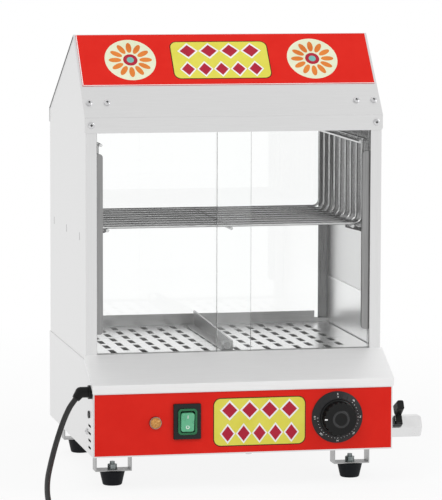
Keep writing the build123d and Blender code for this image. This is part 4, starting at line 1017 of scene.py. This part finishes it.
def half_turn(x, z, radius, side, rise=0.0):
    """Control points of half a turn from x towards the other side, and where it ends."""
    points = []
    centre = x - side * radius
    reach = radius / math.cos(math.pi / points_per_half_turn / 2)
    for step in range(points_per_half_turn):
        share = (step + 0.5) / points_per_half_turn
        angle = math.pi * share
        along = centre + side * reach * math.cos(angle)
        back = coil_middle.y - side * reach * math.sin(angle)
        points.append(Vector((along, back, z + rise * share)))
    return points, x - 2 * side * radius


def coil_points():
    """The coil from its start on the floor, inwards, then outwards on top of itself."""
    points = [Vector((coil_start_x, coil_middle.y + cord_diameter, cord_z))]
    x = coil_start_x
    z = cord_z
    side = 1
    radius = coil_outer
    for _ in range(half_turns_in):
        turn, x = half_turn(x, z, radius, side)
        points += turn
        side = -side
        radius -= turn_pitch / 2
    turn, x = half_turn(x, z, radius, side, turn_pitch)
    points += turn
    z += turn_pitch
    side = -side
    for _ in range(half_turns_out):
        radius += turn_pitch / 2
        turn, x = half_turn(x, z, radius, side)
        points += turn
        side = -side
    return points, x, z


def power_cord():
    """The cord from the strain relief to the plug: down to the floor, coiled there, and out."""
    points = [cord_exit, cord_exit + exit_way * 6 * mm]
    points += [Vector(place) * mm for place in route]
    turns, x, z = coil_points()
    points += turns
    end_x = x + 4 * mm
    end_y = coil_middle.y - cord_diameter
    points.append(Vector((x, end_y, z)))
    points.append(Vector((x, end_y - 16 * mm, z)))
    points.append(Vector((end_x, end_y - 40 * mm, plug_axis_height)))
    points.append(Vector((end_x, end_y - 56 * mm, plug_axis_height)))
    curve = bpy.data.curves.new("power_cord_run", "CURVE")
    curve.dimensions = "3D"
    spline = curve.splines.new("NURBS")
    spline.points.add(len(points) - 1)
    for point, place in zip(spline.points, points):
        point.co = (*place, 1)
    spline.order_u = 3
    spline.use_endpoint_u = True
    curve.resolution_u = 8
    curve.bevel_depth = cord_diameter / 2
    curve.bevel_resolution = 5
    curve.use_fill_caps = True
    cord = bpy.data.objects.new("power_cord_run", curve)
    bpy.context.collection.objects.link(cord)
    curve.materials.append(cord_skin)
    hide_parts("power_cord", "cord_coil", "cord_tail")
    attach(cord, "cabinet")


power_cord()


# ------------------------------------------------------------------ floor, light and camera
def rays(tree, links, *kinds):
    """1 for a ray of any of those kinds, else 0."""
    path = tree.new("ShaderNodeLightPath")
    result = path.outputs[kinds[0]]
    for kind in kinds[1:]:
        either = tree.new("ShaderNodeMath")
        either.operation = "MAXIMUM"
        links.new(result, either.inputs[0])
        links.new(path.outputs[kind], either.inputs[1])
        result = either.outputs[0]
    return result


def blend(tree, links, share, plain, other):
    """The plain shader, and the other one by that share."""
    mix = tree.new("ShaderNodeMixShader")
    links.new(share, mix.inputs["Fac"])
    links.new(plain, mix.inputs[1])
    links.new(other, mix.inputs[2])
    return mix.outputs["Shader"]


def floor():
    """Pale floor that keeps the shadow and, seen or mirrored, grows white away from the steamer."""
    deselect()
    bpy.ops.mesh.primitive_plane_add(size=30)
    plane = named("floor")
    material, tree, links = new_material("pale_floor")
    surface = shader(tree, Base_Color=(0.88, 0.88, 0.88, 1), Roughness=0.9)
    glow = tree.new("ShaderNodeEmission")
    glow.inputs["Strength"].default_value = 1.0
    place = tree.new("ShaderNodeTexCoord")
    away = tree.new("ShaderNodeVectorMath")
    away.operation = "LENGTH"
    links.new(place.outputs["Object"], away.inputs[0])
    near, far = (0.4, 0.86), (1.3, 1.0)  # metres from the middle, share of white there
    whiteness = spread(tree, links, away.outputs["Value"], near[1], far[1], near[0], far[0])
    share = tree.new("ShaderNodeMath")
    share.operation = "MULTIPLY"
    seen = rays(tree, links, "Is Camera Ray", "Is Transmission Ray", "Is Glossy Ray")
    links.new(seen, share.inputs[0])
    links.new(whiteness, share.inputs[1])
    mixed = blend(tree, links, share.outputs[0], surface.outputs["BSDF"], glow.outputs["Emission"])
    links.new(mixed, tree["Material Output"].inputs["Surface"])
    paint(plane, material)


def plain_light(tree):
    """White light for the world, at strength 1 until told otherwise."""
    light = tree.new("ShaderNodeBackground")
    light.inputs["Color"].default_value = (1, 1, 1, 1)
    return light


def world():
    """White where it is seen, greyer towards the front where it is mirrored, a grey fill elsewhere."""
    sky = bpy.data.worlds.new("studio")
    sky.use_nodes = True
    bpy.context.scene.world = sky
    tree = sky.node_tree.nodes
    links = sky.node_tree.links
    fill = tree["Background"]
    fill.inputs["Color"].default_value = (1, 1, 1, 1)
    fill.inputs["Strength"].default_value = 0.62
    seen = plain_light(tree)
    mirrored = plain_light(tree)
    place = tree.new("ShaderNodeTexCoord")
    parts = tree.new("ShaderNodeSeparateXYZ")
    links.new(place.outputs["Generated"], parts.inputs["Vector"])
    front, back = (-0.9, 0.74), (0.2, 0.95)  # direction along Y, strength there
    strength = spread(tree, links, parts.outputs["Y"], front[1], back[1], front[0], back[0])
    links.new(strength, mirrored.inputs["Strength"])
    glossy = rays(tree, links, "Is Glossy Ray")
    unseen = blend(tree, links, glossy, fill.outputs["Background"], mirrored.outputs["Background"])
    direct = rays(tree, links, "Is Camera Ray", "Is Transmission Ray")
    mixed = blend(tree, links, direct, unseen, seen.outputs["Background"])
    links.new(mixed, tree["World Output"].inputs["Surface"])


def soft_light(name, place, size, power, mirrored=False):
    """A large lamp turned to the middle of the steamer, and seen in metal only if mirrored."""
    light = bpy.data.lights.new(name, "AREA")
    light.shape = "RECTANGLE"
    light.size = size[0]
    light.size_y = size[1]
    light.energy = power
    lamp = bpy.data.objects.new(name, light)
    bpy.context.collection.objects.link(lamp)
    lamp.location = place
    way = Vector((0, 0, 0.25)) - Vector(place)
    lamp.rotation_euler = way.to_track_quat("-Z", "Y").to_euler()
    lamp.visible_glossy = mirrored


def camera():
    """The view of the photograph, fitted to the cabinet's straight edges."""
    yaw = math.radians(11.75)
    pitch = math.radians(6.19)
    roll = math.radians(0.14)
    focal_pixels = 3337.0
    long_side_pixels = 500.0
    stand = Vector((-821.0, -3973.0, 709.0)) * mm
    level_ahead = Vector((math.sin(yaw), math.cos(yaw), 0))
    ahead = level_ahead * math.cos(pitch) + Vector((0, 0, -math.sin(pitch)))
    level = Vector((math.cos(yaw), -math.sin(yaw), 0))
    over = level.cross(ahead)
    right = level * math.cos(roll) + over * math.sin(roll)
    up = over * math.cos(roll) - level * math.sin(roll)
    data = bpy.data.cameras.new("camera")
    data.sensor_width = 36.0
    data.lens = focal_pixels * data.sensor_width / long_side_pixels
    data.clip_end = 60.0
    eye = bpy.data.objects.new("camera", data)
    bpy.context.collection.objects.link(eye)
    turned = Matrix((right, up, -ahead)).transposed().to_4x4()
    eye.matrix_world = Matrix.Translation(stand) @ turned
    bpy.context.scene.camera = eye


floor()
world()
soft_light("key_light", (-1.6, -2.4, 2.6), (1.8, 1.8), 34.0)
soft_light("fill_light", (2.4, -1.6, 1.8), (1.6, 1.6), 20.0, True)
soft_light("top_light", (0.0, 0.6, 2.8), (2.2, 2.2), 8.0)
camera()
bpy.context.scene.view_settings.view_transform = "Standard"
